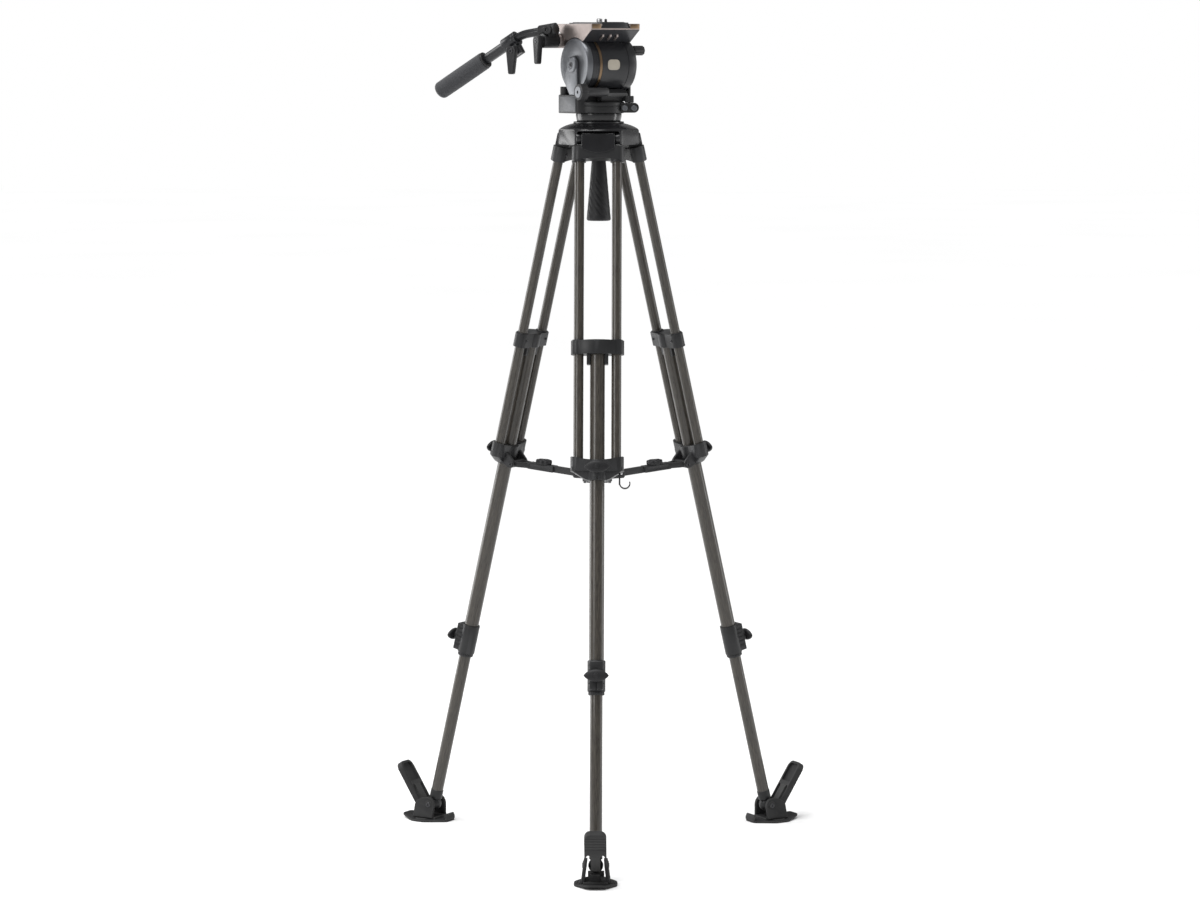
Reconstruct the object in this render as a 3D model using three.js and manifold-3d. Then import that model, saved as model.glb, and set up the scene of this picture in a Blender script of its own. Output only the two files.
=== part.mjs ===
// A fluid head on a three-stage, twin-tube tripod with a mid-level spreader and rubber feet.
// Millimetres, +Z up. The origin is on the floor, at the middle of the whole tripod's footprint.
import * as THREE from 'three';
import { mergeVertices } from 'three/addons/utils/BufferGeometryUtils.js';
import Module from 'manifold-3d';

const wasm = await Module();
wasm.setup();

// ---------------------------------------------------------------- driving dimensions
const GAP = 0.3; // air between pieces that touch
const AXIS_Y = 92.9; // the tripod's own axis, back from the middle of the footprint
const DEG = Math.PI / 180;

// legs: each hangs from a hinge in the crown, and distances run down the leg from that hinge
const LEGS = { front: -90, left: 150, right: 30 }; // azimuth of each leg
const HINGE_RADIUS = 50;
const HINGE_HEIGHT = 1170;
const SPLAY = 13.7;
const LEG_WIDTH = 86;
const TUBE_OFFSET = 30.5; // each upper tube, from the leg's centre line
const UPPER_TUBE = { outer: 8, inner: 6.8, top: 18.5, bottom: 544 };
const MID_TUBE = { outer: 12, inner: 10.4, top: 341.5, bottom: 868 };
const LOWER_TUBE = { outer: 10, inner: 8.4, top: 620, bottom: 1165 };
const SHOULDER = { top: 14, bottom: 39, depth: 27 };
const SLIDER = { top: 333, bottom: 356, depth: 22, lugs: 372 };
const BRACKET = { top: 522, side: 546, bottom: 561, depth: 24, boss: 17 };
const COLLAR = { top: 850, bottom: 900, radius: 14.5, front: 21 };
const KNOB_DROP = { bracket: 541, collar: 876 }; // clamp knobs, down the leg
const BALL_DROP = 1175;
const FOOT_BALL = 12;

// spreader
const LUG = { inward: 24, drop: 555 }; // where an arm hangs on its leg's bracket
const HUB_PIN_RADIUS = 38;
const HUB_HEIGHT = 615;
const ARM_HALF_HEIGHT = 5.5;
const ARM_KNOB = { along: 51, radius: 13.5, height: 7 };

// crown and half ball
const BALL = { radius: 37.5, height: 1209 };
const SEAT_RADIUS = BALL.radius + 0.6;
const UNDER_RADIUS = 56.2; // the crown's underside is a sphere about the same centre
const CROWN = { bottom: 1160, top: 1196, radius: 66, flat: 60, recess: 35, inner: 38 };
const HINGE_PIN = 4;
const TONGUE = { halfWidth: 27, radius: 11.5 };

// head: its local +Y is the lens direction, and +X the operator's right
const HEAD_TURN = 213.5;
const BASE = { bottom: 1211, round: 1230, top: 1241, radius: 42 };
const PAN_LOCK = [50, -13, 0]; // world directions, from the head's axis
const TILT_HEIGHT = 1290;
const DRUM = { radius: 43.5, right: -47, left: 38, cap: 48 };
const YOKE = { inner: 48.3, outer: 52.3, boss: 13.5, pin: 7, saddle: 1250 };
const DRAG = { y: 41, z: 1246, tube: 7, knob: 13.5 };
const PLATFORM = { halfWidth: 46.7, rear: -52, front: 51.4, top: 1356.4, band: 1347, slot: 1349 };
const PLATE = { halfWidth: 25.6, halfLength: 50, top: 1358.4, dovetail: 27.6, lip: 1353.4 };

// pan bar: a bent rod, with an outer tube that slides on it
const ROSETTE = { y: -49, z: 1329, radius: 12 };
const BAR_ROOT = [64, -46, 1347];
const BAR_HEADING = -151.6; // turn of the bar's own frame about Z, in the head's frame
const BAR_RUN = 54; // horizontal run from the knuckle to the bend
const BAR_DIP = 8.5;
const BAR_SLOPE = 30.5;
const ROD_RADIUS = 7;
const ROD_LENGTH = 168; // from the bend to the rod's hidden end
const BAR_TUBE = { outer: 8.7, inner: 7.4, start: 10, end: 179.5 };
const BAR_CLAMP = { radius: 12.5, end: 38, ear: 18 };
const GRIP = { radius: 14.75, start: 82, end: 186.5 };

// ---------------------------------------------------------------- materials
function finish(colour, roughness, metalness) {
  return new THREE.MeshStandardMaterial({ color: colour, roughness, metalness });
}
const carbon = finish(0x3a3531, 0.38, 0.1);
const casting = finish(0x2b2c2e, 0.55, 0.4);
const plastic = finish(0x1f2022, 0.6, 0);
const rubber = finish(0x191a1b, 0.85, 0);
const satin = finish(0x17181a, 0.35, 0.5);
const champagne = finish(0x8f857c, 0.35, 0.8);
const steel = finish(0xa8a8a8, 0.3, 0.9);
const foam = finish(0x46474a, 0.95, 0);

// ---------------------------------------------------------------- solids
// Turns a closed three.js geometry into a solid: shared corners are merged and slivers dropped.
function solid(geometry) {
  geometry.deleteAttribute('normal');
  geometry.deleteAttribute('uv');
  const merged = mergeVertices(geometry, 1e-4);
  const index = merged.index.array;
  const corners = [];
  for (let i = 0; i < index.length; i += 3) {
    const [a, b, c] = [index[i], index[i + 1], index[i + 2]];
    if (a !== b && b !== c && c !== a) corners.push(a, b, c);
  }
  return new wasm.Manifold(new wasm.Mesh({
    numProp: 3,
    vertProperties: merged.attributes.position.array,
    triVerts: new Uint32Array(corners),
  }));
}

const join = (first, ...others) => others.reduce((all, next) => all.add(next), first);
const cut = (first, ...tools) => tools.reduce((rest, tool) => rest.subtract(tool), first);

// A box given by its lowest and highest corners.
function block(low, high) {
  const size = high.map((value, i) => value - low[i]);
  const middle = high.map((value, i) => (value + low[i]) / 2);
  return solid(new THREE.BoxGeometry(...size).translate(...middle));
}

// A round bar between two points, tapered if a second radius is given.
function bar(from, to, radius, sides = 16, endRadius = radius) {
  const start = new THREE.Vector3(...from);
  const run = new THREE.Vector3(...to).sub(start);
  const length = run.length();
  const turn = new THREE.Quaternion().setFromUnitVectors(new THREE.Vector3(0, 1, 0), run.normalize());
  const geometry = new THREE.CylinderGeometry(endRadius, radius, length, sides);
  geometry.translate(0, length / 2, 0);
  geometry.applyQuaternion(turn);
  return solid(geometry.translate(...from));
}

// A ring of material around Z from an anticlockwise outline of [radius, height] points.
function turned(outline, sides) {
  const points = outline.map(([r, z]) => new THREE.Vector2(r, z));
  return solid(new THREE.LatheGeometry(points, sides).rotateX(Math.PI / 2));
}

// Points of an arc about [0, height], from one angle above the horizontal to another.
function arcPoints(radius, height, from, to, steps) {
  const points = [];
  for (let i = 0; i <= steps; i += 1) {
    const angle = (from + (to - from) * i / steps) * DEG;
    points.push([radius * Math.cos(angle), height + radius * Math.sin(angle)]);
  }
  return points;
}

// An outline of [x, y] points, extruded from one height to another.
function prism(points, low, high) {
  const shape = new THREE.Shape(points.map(([x, y]) => new THREE.Vector2(x, y)));
  const options = { depth: high - low, bevelEnabled: false };
  return solid(new THREE.ExtrudeGeometry(shape, options).translate(0, 0, low));
}

// An outline of [y, z] points, extruded along X.
function sidePrism(points, low, high) {
  const shape = new THREE.Shape(points.map(([y, z]) => new THREE.Vector2(y, z)));
  const geometry = new THREE.ExtrudeGeometry(shape, { depth: high - low, bevelEnabled: false });
  geometry.rotateX(Math.PI / 2).rotateZ(Math.PI / 2);
  return solid(geometry.translate(low, 0, 0));
}

// An outline of [x, z] points, extruded along Y.
function frontPrism(points, low, high) {
  const shape = new THREE.Shape(points.map(([x, z]) => new THREE.Vector2(x, z)));
  const geometry = new THREE.ExtrudeGeometry(shape, { depth: high - low, bevelEnabled: false });
  return solid(geometry.rotateX(Math.PI / 2).translate(0, high, 0));
}

// A slab with round ends: width across the leg, depth in and out.
function lozenge(width, depth, low, high) {
  const reach = (width - depth) / 2;
  const shape = new THREE.Shape();
  shape.absarc(reach, 0, depth / 2, -Math.PI / 2, Math.PI / 2);
  shape.absarc(-reach, 0, depth / 2, Math.PI / 2, Math.PI * 1.5);
  const options = { depth: high - low, bevelEnabled: false, curveSegments: 5 };
  return solid(new THREE.ExtrudeGeometry(shape, options).translate(0, 0, low));
}

// A straight hollow tube down the leg.
function tube({ outer, inner, top, bottom }, x, sides) {
  return cut(bar([x, 0, -bottom], [x, 0, -top], outer, sides),
    bar([x, 0, -bottom - 1], [x, 0, -top + 1], inner, sides));
}

function addPiece(parent, name, shape, material) {
  const mesh = shape.getMesh();
  const geometry = new THREE.BufferGeometry();
  geometry.setAttribute('position', new THREE.BufferAttribute(mesh.vertProperties, 3));
  geometry.setIndex(new THREE.BufferAttribute(mesh.triVerts, 1));
  geometry.computeVertexNormals();
  const piece = new THREE.Mesh(geometry, material);
  piece.name = name;
  parent.add(piece);
}

function addGroup(parent, position, turnX = 0, turnZ = 0) {
  const group = new THREE.Group();
  group.position.set(...position);
  group.rotation.set(turnX * DEG, 0, turnZ * DEG, 'ZYX');
  parent.add(group);
  return group;
}

// ---------------------------------------------------------------- knobs and levers
// A wing knob that points along +Y from its seat, with a screw that runs back into the clamp.
function wingKnob(seat, height) {
  const centre = new THREE.Vector3(0, seat, height);
  const wings = [[-20, 3], [-14, 8.5], [-5, 10], [5, 10], [14, 8.5], [20, 3]];
  const lower = wings.map(([x, z]) => [-x, 4 - 1.4 * z]);
  const outline = [...wings, ...lower].map(([x, z]) => [x, height + z]).reverse();
  return join(frontPrism(outline, seat + 4, seat + 13),
    bar([0, seat, height], [0, seat + 5, height], 7, 14),
    bar([0, seat - 7, height], [0, centre.y + 1, height], 2.7, 10));
}

// A clamp lever: its hub points along +X from its seat, and its arm hangs down.
function hangingLever(seat, y, z, length) {
  const arm = [[y - 6, z - length], [y + 5, z - length], [y + 9.5, z + 2], [y + 6, z + 8],
    [y - 6, z + 8], [y - 9.5, z + 2]];
  return join(sidePrism(arm, seat + 3, seat + 12),
    bar([seat, y, z], [seat + 4, y, z], 8, 16),
    bar([seat - 7, y, z], [seat + 1, y, z], 2.7, 10));
}

// A fluted round knob about Z.
function flutedKnob(radius, low, high, flutes) {
  const cutters = [];
  for (let i = 0; i < flutes; i += 1) {
    const angle = (i * 2 * Math.PI) / flutes;
    const [x, y] = [radius * 1.08 * Math.cos(angle), radius * 1.08 * Math.sin(angle)];
    cutters.push(bar([x, y, low - 1], [x, y, high + 1], radius * 0.19, 6));
  }
  return cut(bar([0, 0, low], [0, 0, high], radius, 20), ...cutters);
}

// ---------------------------------------------------------------- crown
function crown() {
  const underside = arcPoints(UNDER_RADIUS, BALL.height, -70.2, -48.2, 4);
  const dome = [[CROWN.inner, CROWN.bottom], [64, CROWN.bottom], [CROWN.radius, 1162],
    [CROWN.radius, 1183.5], [63, 1186.5], [55, 1190.6], [46, 1193.6], [39.6, CROWN.top],
    [36.1, CROWN.top]];
  const seat = arcPoints(SEAT_RADIUS, BALL.height, -21.5, -59.8, 6);
  let body = turned([...underside, ...dome, ...seat, underside[0]], 24);
  const flats = [];
  for (const azimuth of Object.values(LEGS)) {
    const turn = new THREE.Matrix4().makeRotationZ((azimuth - 90) * DEG);
    const place = (low, high) => solid(new THREE.BoxGeometry(...high.map((v, i) => v - low[i]))
      .translate(...high.map((v, i) => (v + low[i]) / 2)).applyMatrix4(turn));
    const rod = (x1, x2, radius) => {
      const ends = [x1, x2].map((x) => new THREE.Vector3(x, HINGE_RADIUS, HINGE_HEIGHT)
        .applyMatrix4(turn).toArray());
      return bar(...ends, radius, 12);
    };
    body = cut(body, place([-CROWN.recess, CROWN.inner, 1150], [CROWN.recess, 90, 1182.7]));
    flats.push(place([-60, -90, 1150], [60, -CROWN.flat, 1185.5]));
    for (const side of [-1, 1]) {
      const boss = rod(side * (TONGUE.halfWidth + 0.6), side * (CROWN.recess + 0.5), 9.5);
      body = join(body, boss, rod(side * 20, side * (CROWN.recess + 2), HINGE_PIN));
    }
  }
  return cut(body, ...flats);
}

// ---------------------------------------------------------------- leg pieces
// A shallow lens across the leg, that hollows a straight edge at the given height.
function hollow(middle, up) {
  const centre = middle - up * 155.6;
  const points = arcPoints(155.6, centre, up * 90 - 16, up * 90 + 16, 8);
  return frontPrism(points, -20, 20);
}

function topFitting() {
  const { halfWidth, radius } = TONGUE;
  const body = join(lozenge(LEG_WIDTH, SHOULDER.depth, -SHOULDER.bottom, -SHOULDER.top),
    block([-halfWidth, -radius, -26], [halfWidth, radius, 0]),
    bar([-halfWidth, 0, 0], [halfWidth, 0, 0], radius, 16));
  const hole = bar([-halfWidth - 1, 0, 0], [halfWidth + 1, 0, 0], HINGE_PIN + GAP, 12);
  const sockets = [-1, 1].map((side) => bar([side * TUBE_OFFSET, 0, -SHOULDER.bottom - 1],
    [side * TUBE_OFFSET, 0, -UPPER_TUBE.top + GAP], UPPER_TUBE.outer + GAP, 12));
  return cut(body, hole, hollow(-SHOULDER.bottom + 5.5, 1), ...sockets);
}

// The slider's front bows forward between the two tubes.
function slider() {
  const lugs = [-1, 1].map((side) => block([side > 0 ? 11 : -17.5, -7, -SLIDER.lugs],
    [side > 0 ? 17.5 : -11, 7, -SLIDER.bottom + 1]));
  const bow = arcPoints(57.9, -38.9, 45, 135, 8);
  const body = join(lozenge(LEG_WIDTH, SLIDER.depth, -SLIDER.bottom, -SLIDER.top),
    prism(bow, -SLIDER.bottom, -SLIDER.top),
    bar([0, 0, -SLIDER.bottom], [0, 0, -SLIDER.top], 15.5, 16), ...lugs);
  const holes = [-1, 1].map((side) => bar([side * TUBE_OFFSET, 0, -SLIDER.lugs],
    [side * TUBE_OFFSET, 0, -SLIDER.top + 1], UPPER_TUBE.outer + GAP, 12));
  return cut(body, ...holes,
    bar([0, 0, -SLIDER.lugs - 1], [0, 0, -MID_TUBE.top + GAP], MID_TUBE.outer + GAP, 16));
}

function lowerBracket() {
  const { top, side, bottom, depth, boss } = BRACKET;
  const skirt = [[-41, -side + 1], [-boss, -bottom], [boss, -bottom], [41, -side + 1], [41, -side + 8],
    [-41, -side + 8]];
  let body = join(lozenge(LEG_WIDTH, depth, -side, -top),
    frontPrism(skirt, -depth / 2 + 3, depth / 2 - 3),
    bar([0, 0, -bottom], [0, 0, -top - 2], boss, 16),
    bar([0, 10, -KNOB_DROP.bracket], [0, 20, -KNOB_DROP.bracket], 8, 12));
  const ear = [[-8, -BRACKET.top - 12], [-8, -LUG.drop - 3], [-20, -LUG.drop - 7], [-27, -LUG.drop - 6],
    [-31, -LUG.drop], [-28, -LUG.drop + 6]];
  for (const [low, high] of [[-22.3, -17.3], [17.3, 22.3]]) {
    const tip = low > 0 ? [low + 1, 10.5] : [high - 1, -10.5];
    body = join(body, sidePrism(ear, low, high),
      bar([tip[0], -LUG.inward, -LUG.drop], [tip[1], -LUG.inward, -LUG.drop], 3, 8));
  }
  const sockets = [-1, 1].map((end) => bar([end * TUBE_OFFSET, 0, -UPPER_TUBE.bottom - GAP],
    [end * TUBE_OFFSET, 0, -top + 1], UPPER_TUBE.outer + GAP, 12));
  return cut(body, hollow(-top - 5.5, -1), ...sockets,
    bar([0, 0, -bottom - 1], [0, 0, -top + 1], MID_TUBE.outer + GAP, 16),
    bar([0, 12.6, -KNOB_DROP.bracket], [0, 21, -KNOB_DROP.bracket], 3, 10));
}

function collar() {
  const { top, bottom, radius, front } = COLLAR;
  const body = join(bar([0, 0, -bottom], [0, 0, -top], radius, 16),
    block([-11, 0, -bottom + 2], [11, front, -top - 2]));
  return cut(body,
    bar([0, 0, -MID_TUBE.bottom - GAP], [0, 0, -top + 1], MID_TUBE.outer + GAP, 16),
    bar([0, 0, -bottom - 1], [0, 0, -top + 1], LOWER_TUBE.outer + GAP, 14),
    bar([0, 13, -KNOB_DROP.collar], [0, front + 1, -KNOB_DROP.collar], 3, 10));
}

function lowerTube() {
  const { outer, inner, top, bottom } = LOWER_TUBE;
  const ball = new THREE.SphereGeometry(FOOT_BALL, 14, 8).rotateX(Math.PI / 2);
  const body = join(bar([0, 0, -bottom], [0, 0, -top], outer, 14),
    bar([0, 0, -BALL_DROP], [0, 0, -bottom + 1], 8.5, 14),
    solid(ball.translate(0, 0, -BALL_DROP)));
  return cut(body, bar([0, 0, -bottom + 12], [0, 0, -top + 1], inner, 14));
}

// The foot is built about its ball: +Y points away from the tripod, and the sole is at z = -height.
function footPad(height) {
  const sole = [[13, 57], [34.5, 25], [34.5, 1], [13, -33], [-13, -33], [-34.5, 1], [-34.5, 25], [-13, 57]];
  const shape = new THREE.Shape(sole.map(([x, y]) => new THREE.Vector2(x, y).multiplyScalar(1)));
  const options = { depth: 3.5, bevelThickness: 2, bevelSize: 2.5, bevelOffset: -2.5, bevelSegments: 1 };
  const plate = solid(new THREE.ExtrudeGeometry(shape, options).translate(0, 0, 2 - height));
  const ear = [[-9, 6 - height], [30, 6 - height], [27, 4], [13, 12], [-5, 12], [-11, 2]];
  const ears = [sidePrism(ear, 12.8, 18.8), sidePrism(ear, -18.8, -12.8)];
  const post = block([-8, 15, 6 - height], [8, 27, -9]);
  return join(plate, post, ...ears, footStrap());
}

// The pull strap leans outwards from the ears; two slots divide its lower half.
function footStrap() {
  const lean = -33 * DEG;
  const half = [[12, 82], [17.5, 74], [17.5, 4], [15, 0], [15, 34], [11.2, 38], [7.5, 34], [7.5, 0]];
  const other = half.map(([x, z]) => [-x, z]).reverse();
  const shape = new THREE.Shape([...half, ...other].map(([x, z]) => new THREE.Vector2(x, z)));
  const geometry = new THREE.ExtrudeGeometry(shape, { depth: 11, bevelEnabled: false });
  geometry.rotateX(Math.PI / 2).translate(0, 5.5, 0).rotateX(lean);
  return solid(geometry.translate(0, 20, -3));
}

function addLeg(parent, side, azimuth) {
  const sector = addGroup(parent, [0, 0, 0], 0, azimuth - 90);
  const leg = addGroup(sector, [0, HINGE_RADIUS, HINGE_HEIGHT], SPLAY);
  addPiece(leg, `${side}_leg_top_fitting`, topFitting(), casting);
  addPiece(leg, `${side}_upper_tube_a`, tube(UPPER_TUBE, -TUBE_OFFSET, 12), carbon);
  addPiece(leg, `${side}_upper_tube_b`, tube(UPPER_TUBE, TUBE_OFFSET, 12), carbon);
  addPiece(leg, `${side}_lower_bracket`, lowerBracket(), casting);
  addPiece(leg, `${side}_bracket_knob`, wingKnob(20 + GAP, -KNOB_DROP.bracket), plastic);
  addPiece(leg, `${side}_slider`, slider(), casting);
  addPiece(leg, `${side}_mid_tube`, tube(MID_TUBE, 0, 16), carbon);
  addPiece(leg, `${side}_collar`, collar(), casting);
  addPiece(leg, `${side}_collar_knob`, wingKnob(COLLAR.front + GAP, -KNOB_DROP.collar), plastic);
  addPiece(leg, `${side}_lower_tube`, lowerTube(), carbon);

  const ballRadius = HINGE_RADIUS + BALL_DROP * Math.sin(SPLAY * DEG);
  const ballHeight = HINGE_HEIGHT - BALL_DROP * Math.cos(SPLAY * DEG);
  const foot = addGroup(sector, [0, ballRadius, ballHeight]);
  addPiece(foot, `${side}_foot`, footPad(ballHeight), rubber);
  addArm(sector, side);
}

// ---------------------------------------------------------------- spreader
function addArm(sector, side) {
  const sin = Math.sin(SPLAY * DEG);
  const cos = Math.cos(SPLAY * DEG);
  const radius = HINGE_RADIUS - LUG.inward * cos + LUG.drop * sin;
  const height = HINGE_HEIGHT - LUG.inward * sin - LUG.drop * cos;
  const slope = Math.atan2(height - HUB_HEIGHT, radius - HUB_PIN_RADIUS);
  const length = Math.hypot(height - HUB_HEIGHT, radius - HUB_PIN_RADIUS);
  const arm = addGroup(sector, [0, radius, height], slope / DEG);
  const { along, height: knobHeight } = ARM_KNOB;
  const web = [[-16.9, -1], [16.9, -1], [8.5, -24], [-8.5, -24]].reverse();
  const body = join(bar([-16.9, 0, 0], [16.9, 0, 0], 6, 12), prism(web, -4.5, 4.5),
    block([-8.5, -74, -ARM_HALF_HEIGHT], [8.5, -22, ARM_HALF_HEIGHT]),
    block([-4, -length, -ARM_HALF_HEIGHT], [4, -73, ARM_HALF_HEIGHT]),
    bar([-4, -length, 0], [4, -length, 0], 5.5, 10));
  const shape = cut(body, bar([-18, 0, 0], [18, 0, 0], 3 + GAP, 8),
    bar([-5, -length, 0], [5, -length, 0], 2.2, 8),
    bar([0, -along, 1], [0, -along, 6], 2.8, 8));
  addPiece(arm, `${side}_spreader_arm`, shape, casting);
  const grip = addGroup(arm, [0, -along, ARM_HALF_HEIGHT + GAP]);
  const knob = join(flutedKnob(ARM_KNOB.radius, 0, knobHeight, 6), bar([0, 0, -4], [0, 0, 1], 2.5, 8));
  addPiece(grip, `${side}_arm_knob`, knob, plastic);
}

function spreaderHub() {
  let body = bar([0, 0, -7.5], [0, 0, -2.5], 18.5, 18);
  const cheek = [[11, -7.5], [43, -7.5], [45, -5], [45, 4], [42, 7], [33, 7], [18, -2], [11, -3]];
  for (const azimuth of Object.values(LEGS)) {
    for (const [low, high] of [[-9, -5], [5, 9]]) {
      const shape = new THREE.Shape(cheek.map(([y, z]) => new THREE.Vector2(y, z)));
      const geometry = new THREE.ExtrudeGeometry(shape, { depth: high - low, bevelEnabled: false });
      geometry.rotateX(Math.PI / 2).rotateZ(Math.PI / 2).translate(low, 0, 0);
      body = join(body, solid(geometry.rotateZ((azimuth - 90) * DEG)));
    }
  }
  return body;
}

// ---------------------------------------------------------------- head
function halfBall() {
  const { radius, height } = BALL;
  const outline = [[0, 1130], [5, 1130], [5, 1177], ...arcPoints(radius, height, -58.5, 0, 8),
    [radius, BASE.bottom - GAP], [0, BASE.bottom - GAP]];
  return turned(outline, 24);
}

function tieDownHandle() {
  const dish = arcPoints(UNDER_RADIUS + 0.4, BALL.height, -67.2, -84.2, 3);
  const outline = [[0, 1035], [18, 1035], [20, 1037], [11, 1140], [9.5, 1142], [9.5, 1148],
    [22, 1151], ...dish, [5.5, 1127], [0, 1127]];
  return turned(outline, 18);
}

// The pan lock's lug stands beside the base; it is square to the front leg, not to the head.
function panLockPlace() {
  return new THREE.Matrix4().makeRotationZ(-HEAD_TURN * DEG);
}

function panBase() {
  const { bottom, round, top, radius } = BASE;
  const side = [[14, -45], [52, -45], [52, 17], [14, 17]];
  const ear = new THREE.BoxGeometry(28.5, 15, 16).translate(44.2, -13, 1220);
  const end = new THREE.CylinderGeometry(7.5, 7.5, 16, 16).rotateX(Math.PI / 2).translate(58.4, -13, 1220);
  const lug = join(...[ear, end].map((shape) => solid(shape.applyMatrix4(panLockPlace()))));
  const well = new THREE.Vector3(...PAN_LOCK).applyMatrix4(panLockPlace());
  return cut(join(bar([0, 0, bottom], [0, 0, round], radius, 28), prism(side, bottom, top), lug),
    bar([well.x, well.y, 1222], [well.x, well.y, 1229], 3, 10));
}

function panLock(parent) {
  const place = new THREE.Vector3(...PAN_LOCK).applyMatrix4(panLockPlace());
  const spot = addGroup(parent, [place.x, place.y, 1228 + GAP]);
  const knob = join(flutedKnob(7.5, 0, 11, 8), bar([0, 0, -5], [0, 0, 1], 2.7, 10));
  addPiece(spot, 'pan_lock_knob', knob, plastic);
}

// The yoke's foot steps down beside the base's raised block, and its arms stand outside the drum.
function yoke() {
  const { inner, outer, boss, pin, saddle } = YOKE;
  const high = BASE.top + GAP;
  const low = BASE.round + GAP;
  const foot = [[-42, low], [14 - GAP, low], [14 - GAP, high], [40, high], [38, saddle], [-34, saddle]];
  const chamfer = [[24, saddle + 1], [31, saddle + 1], [31, 1244], [30, 1244], [25, saddle]];
  const rearChamfer = chamfer.map(([y, z]) => [-y, z]);
  let body = join(cut(frontPrism(foot, -30, 30), sidePrism(chamfer, -50, 50), sidePrism(rearChamfer, -50, 50),
    bar([-50, 0, TILT_HEIGHT], [50, 0, TILT_HEIGHT], DRUM.radius + 1.2, 28)),
  block([30, -9, high], [outer, 13.4, high + 3.2]),
  block([-outer, -9, low], [-34, 13.4, low + 6]),
  bar([10, DRAG.y, DRAG.z], [outer, DRAG.y, DRAG.z], DRAG.tube, 18),
  block([12, 26, high], [34, DRAG.y, high + 6]));
  for (const side of [-1, 1]) {
    const [from, to] = side > 0 ? [inner, outer] : [-outer, -inner];
    const floor = side > 0 ? high : low;
    const arm = [[16, floor], [16, 1262], [13.5, TILT_HEIGHT], [-13.5, TILT_HEIGHT], [-24, 1262], [-7, floor]];
    const tip = side > 0 ? 33 : -41;
    body = join(body, sidePrism(arm, from, to),
      bar([from, 0, TILT_HEIGHT], [to, 0, TILT_HEIGHT], boss, 18),
      bar([side * (inner + 1), 0, TILT_HEIGHT], [tip, 0, TILT_HEIGHT], pin, 12));
  }
  return cut(body, bar([44, DRAG.y, DRAG.z], [53, DRAG.y, DRAG.z], 3, 10));
}

function drum() {
  const { radius, right, left } = DRUM;
  const shape = join(bar([right, 0, TILT_HEIGHT], [right + 8, 0, TILT_HEIGHT], 43, 28),
    bar([right + 7, 0, TILT_HEIGHT], [left, 0, TILT_HEIGHT], radius, 28));
  return cut(shape, bar([right + 5, 0, TILT_HEIGHT], [left + 1, 0, TILT_HEIGHT], 36, 20),
    bar([right - 1, 0, TILT_HEIGHT], [right + 6, 0, TILT_HEIGHT], YOKE.pin + GAP, 12),
    bar([right - 1, 12, 1313], [right + 4, 12, 1313], 3, 10));
}

function drumCap() {
  const { left, cap } = DRUM;
  const shape = join(bar([left + GAP, 0, TILT_HEIGHT], [cap - 3, 0, TILT_HEIGHT], 44, 28),
    bar([cap - 3.5, 0, TILT_HEIGHT], [cap, 0, TILT_HEIGHT], 44, 28, 41));
  return cut(shape, bar([left - 1, 0, TILT_HEIGHT], [cap + 1, 0, TILT_HEIGHT], YOKE.pin + GAP, 12));
}

function platform() {
  const { halfWidth, rear, front, top, band, slot } = PLATFORM;
  const profile = [[rear, band], [-29, 1331], [22.8, 1327], [front, band], [front, top], [rear, top]];
  const channel = [[PLATE.dovetail, 0], [PLATE.dovetail, 2.2], [PLATE.halfWidth, 4.4], [PLATE.halfWidth, 9]];
  const outline = channel.map(([x, z]) => [x + GAP + 0.2, slot + z]);
  const mirrored = outline.map(([x, z]) => [-x, z]).reverse();
  const body = join(sidePrism(profile, -halfWidth, halfWidth),
    bar([26, ROSETTE.y, ROSETTE.z], [50.3, ROSETTE.y, ROSETTE.z], ROSETTE.radius, 16),
    block([26, ROSETTE.y - 3, ROSETTE.z], [44, ROSETTE.y + 14, 1340]));
  return cut(body, frontPrism([...outline, ...mirrored], rear - 1, front + 1),
    bar([-48, 0, TILT_HEIGHT], [48, 0, TILT_HEIGHT], DRUM.radius + 0.9, 28),
    bar([-48, -12, 1351.5], [-40, -12, 1351.5], 3, 10),
    bar([42, ROSETTE.y, ROSETTE.z], [51, ROSETTE.y, ROSETTE.z], 3.4, 10));
}

function cameraPlate() {
  const { halfWidth, halfLength, top, dovetail, lip } = PLATE;
  const low = PLATFORM.slot + GAP;
  const section = [[-dovetail, low], [dovetail, low], [dovetail, low + 2], [halfWidth, lip],
    [halfWidth, top], [-halfWidth, top], [-halfWidth, lip], [-dovetail, low + 2]];
  const body = join(frontPrism(section, -halfLength, halfLength),
    bar([0, 21, top - 1], [0, 21, top + 6], 2.2, 12));
  return cut(body, bar([0, 2, low - 1], [0, 2, top + 1], 5.1, 20));
}

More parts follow.
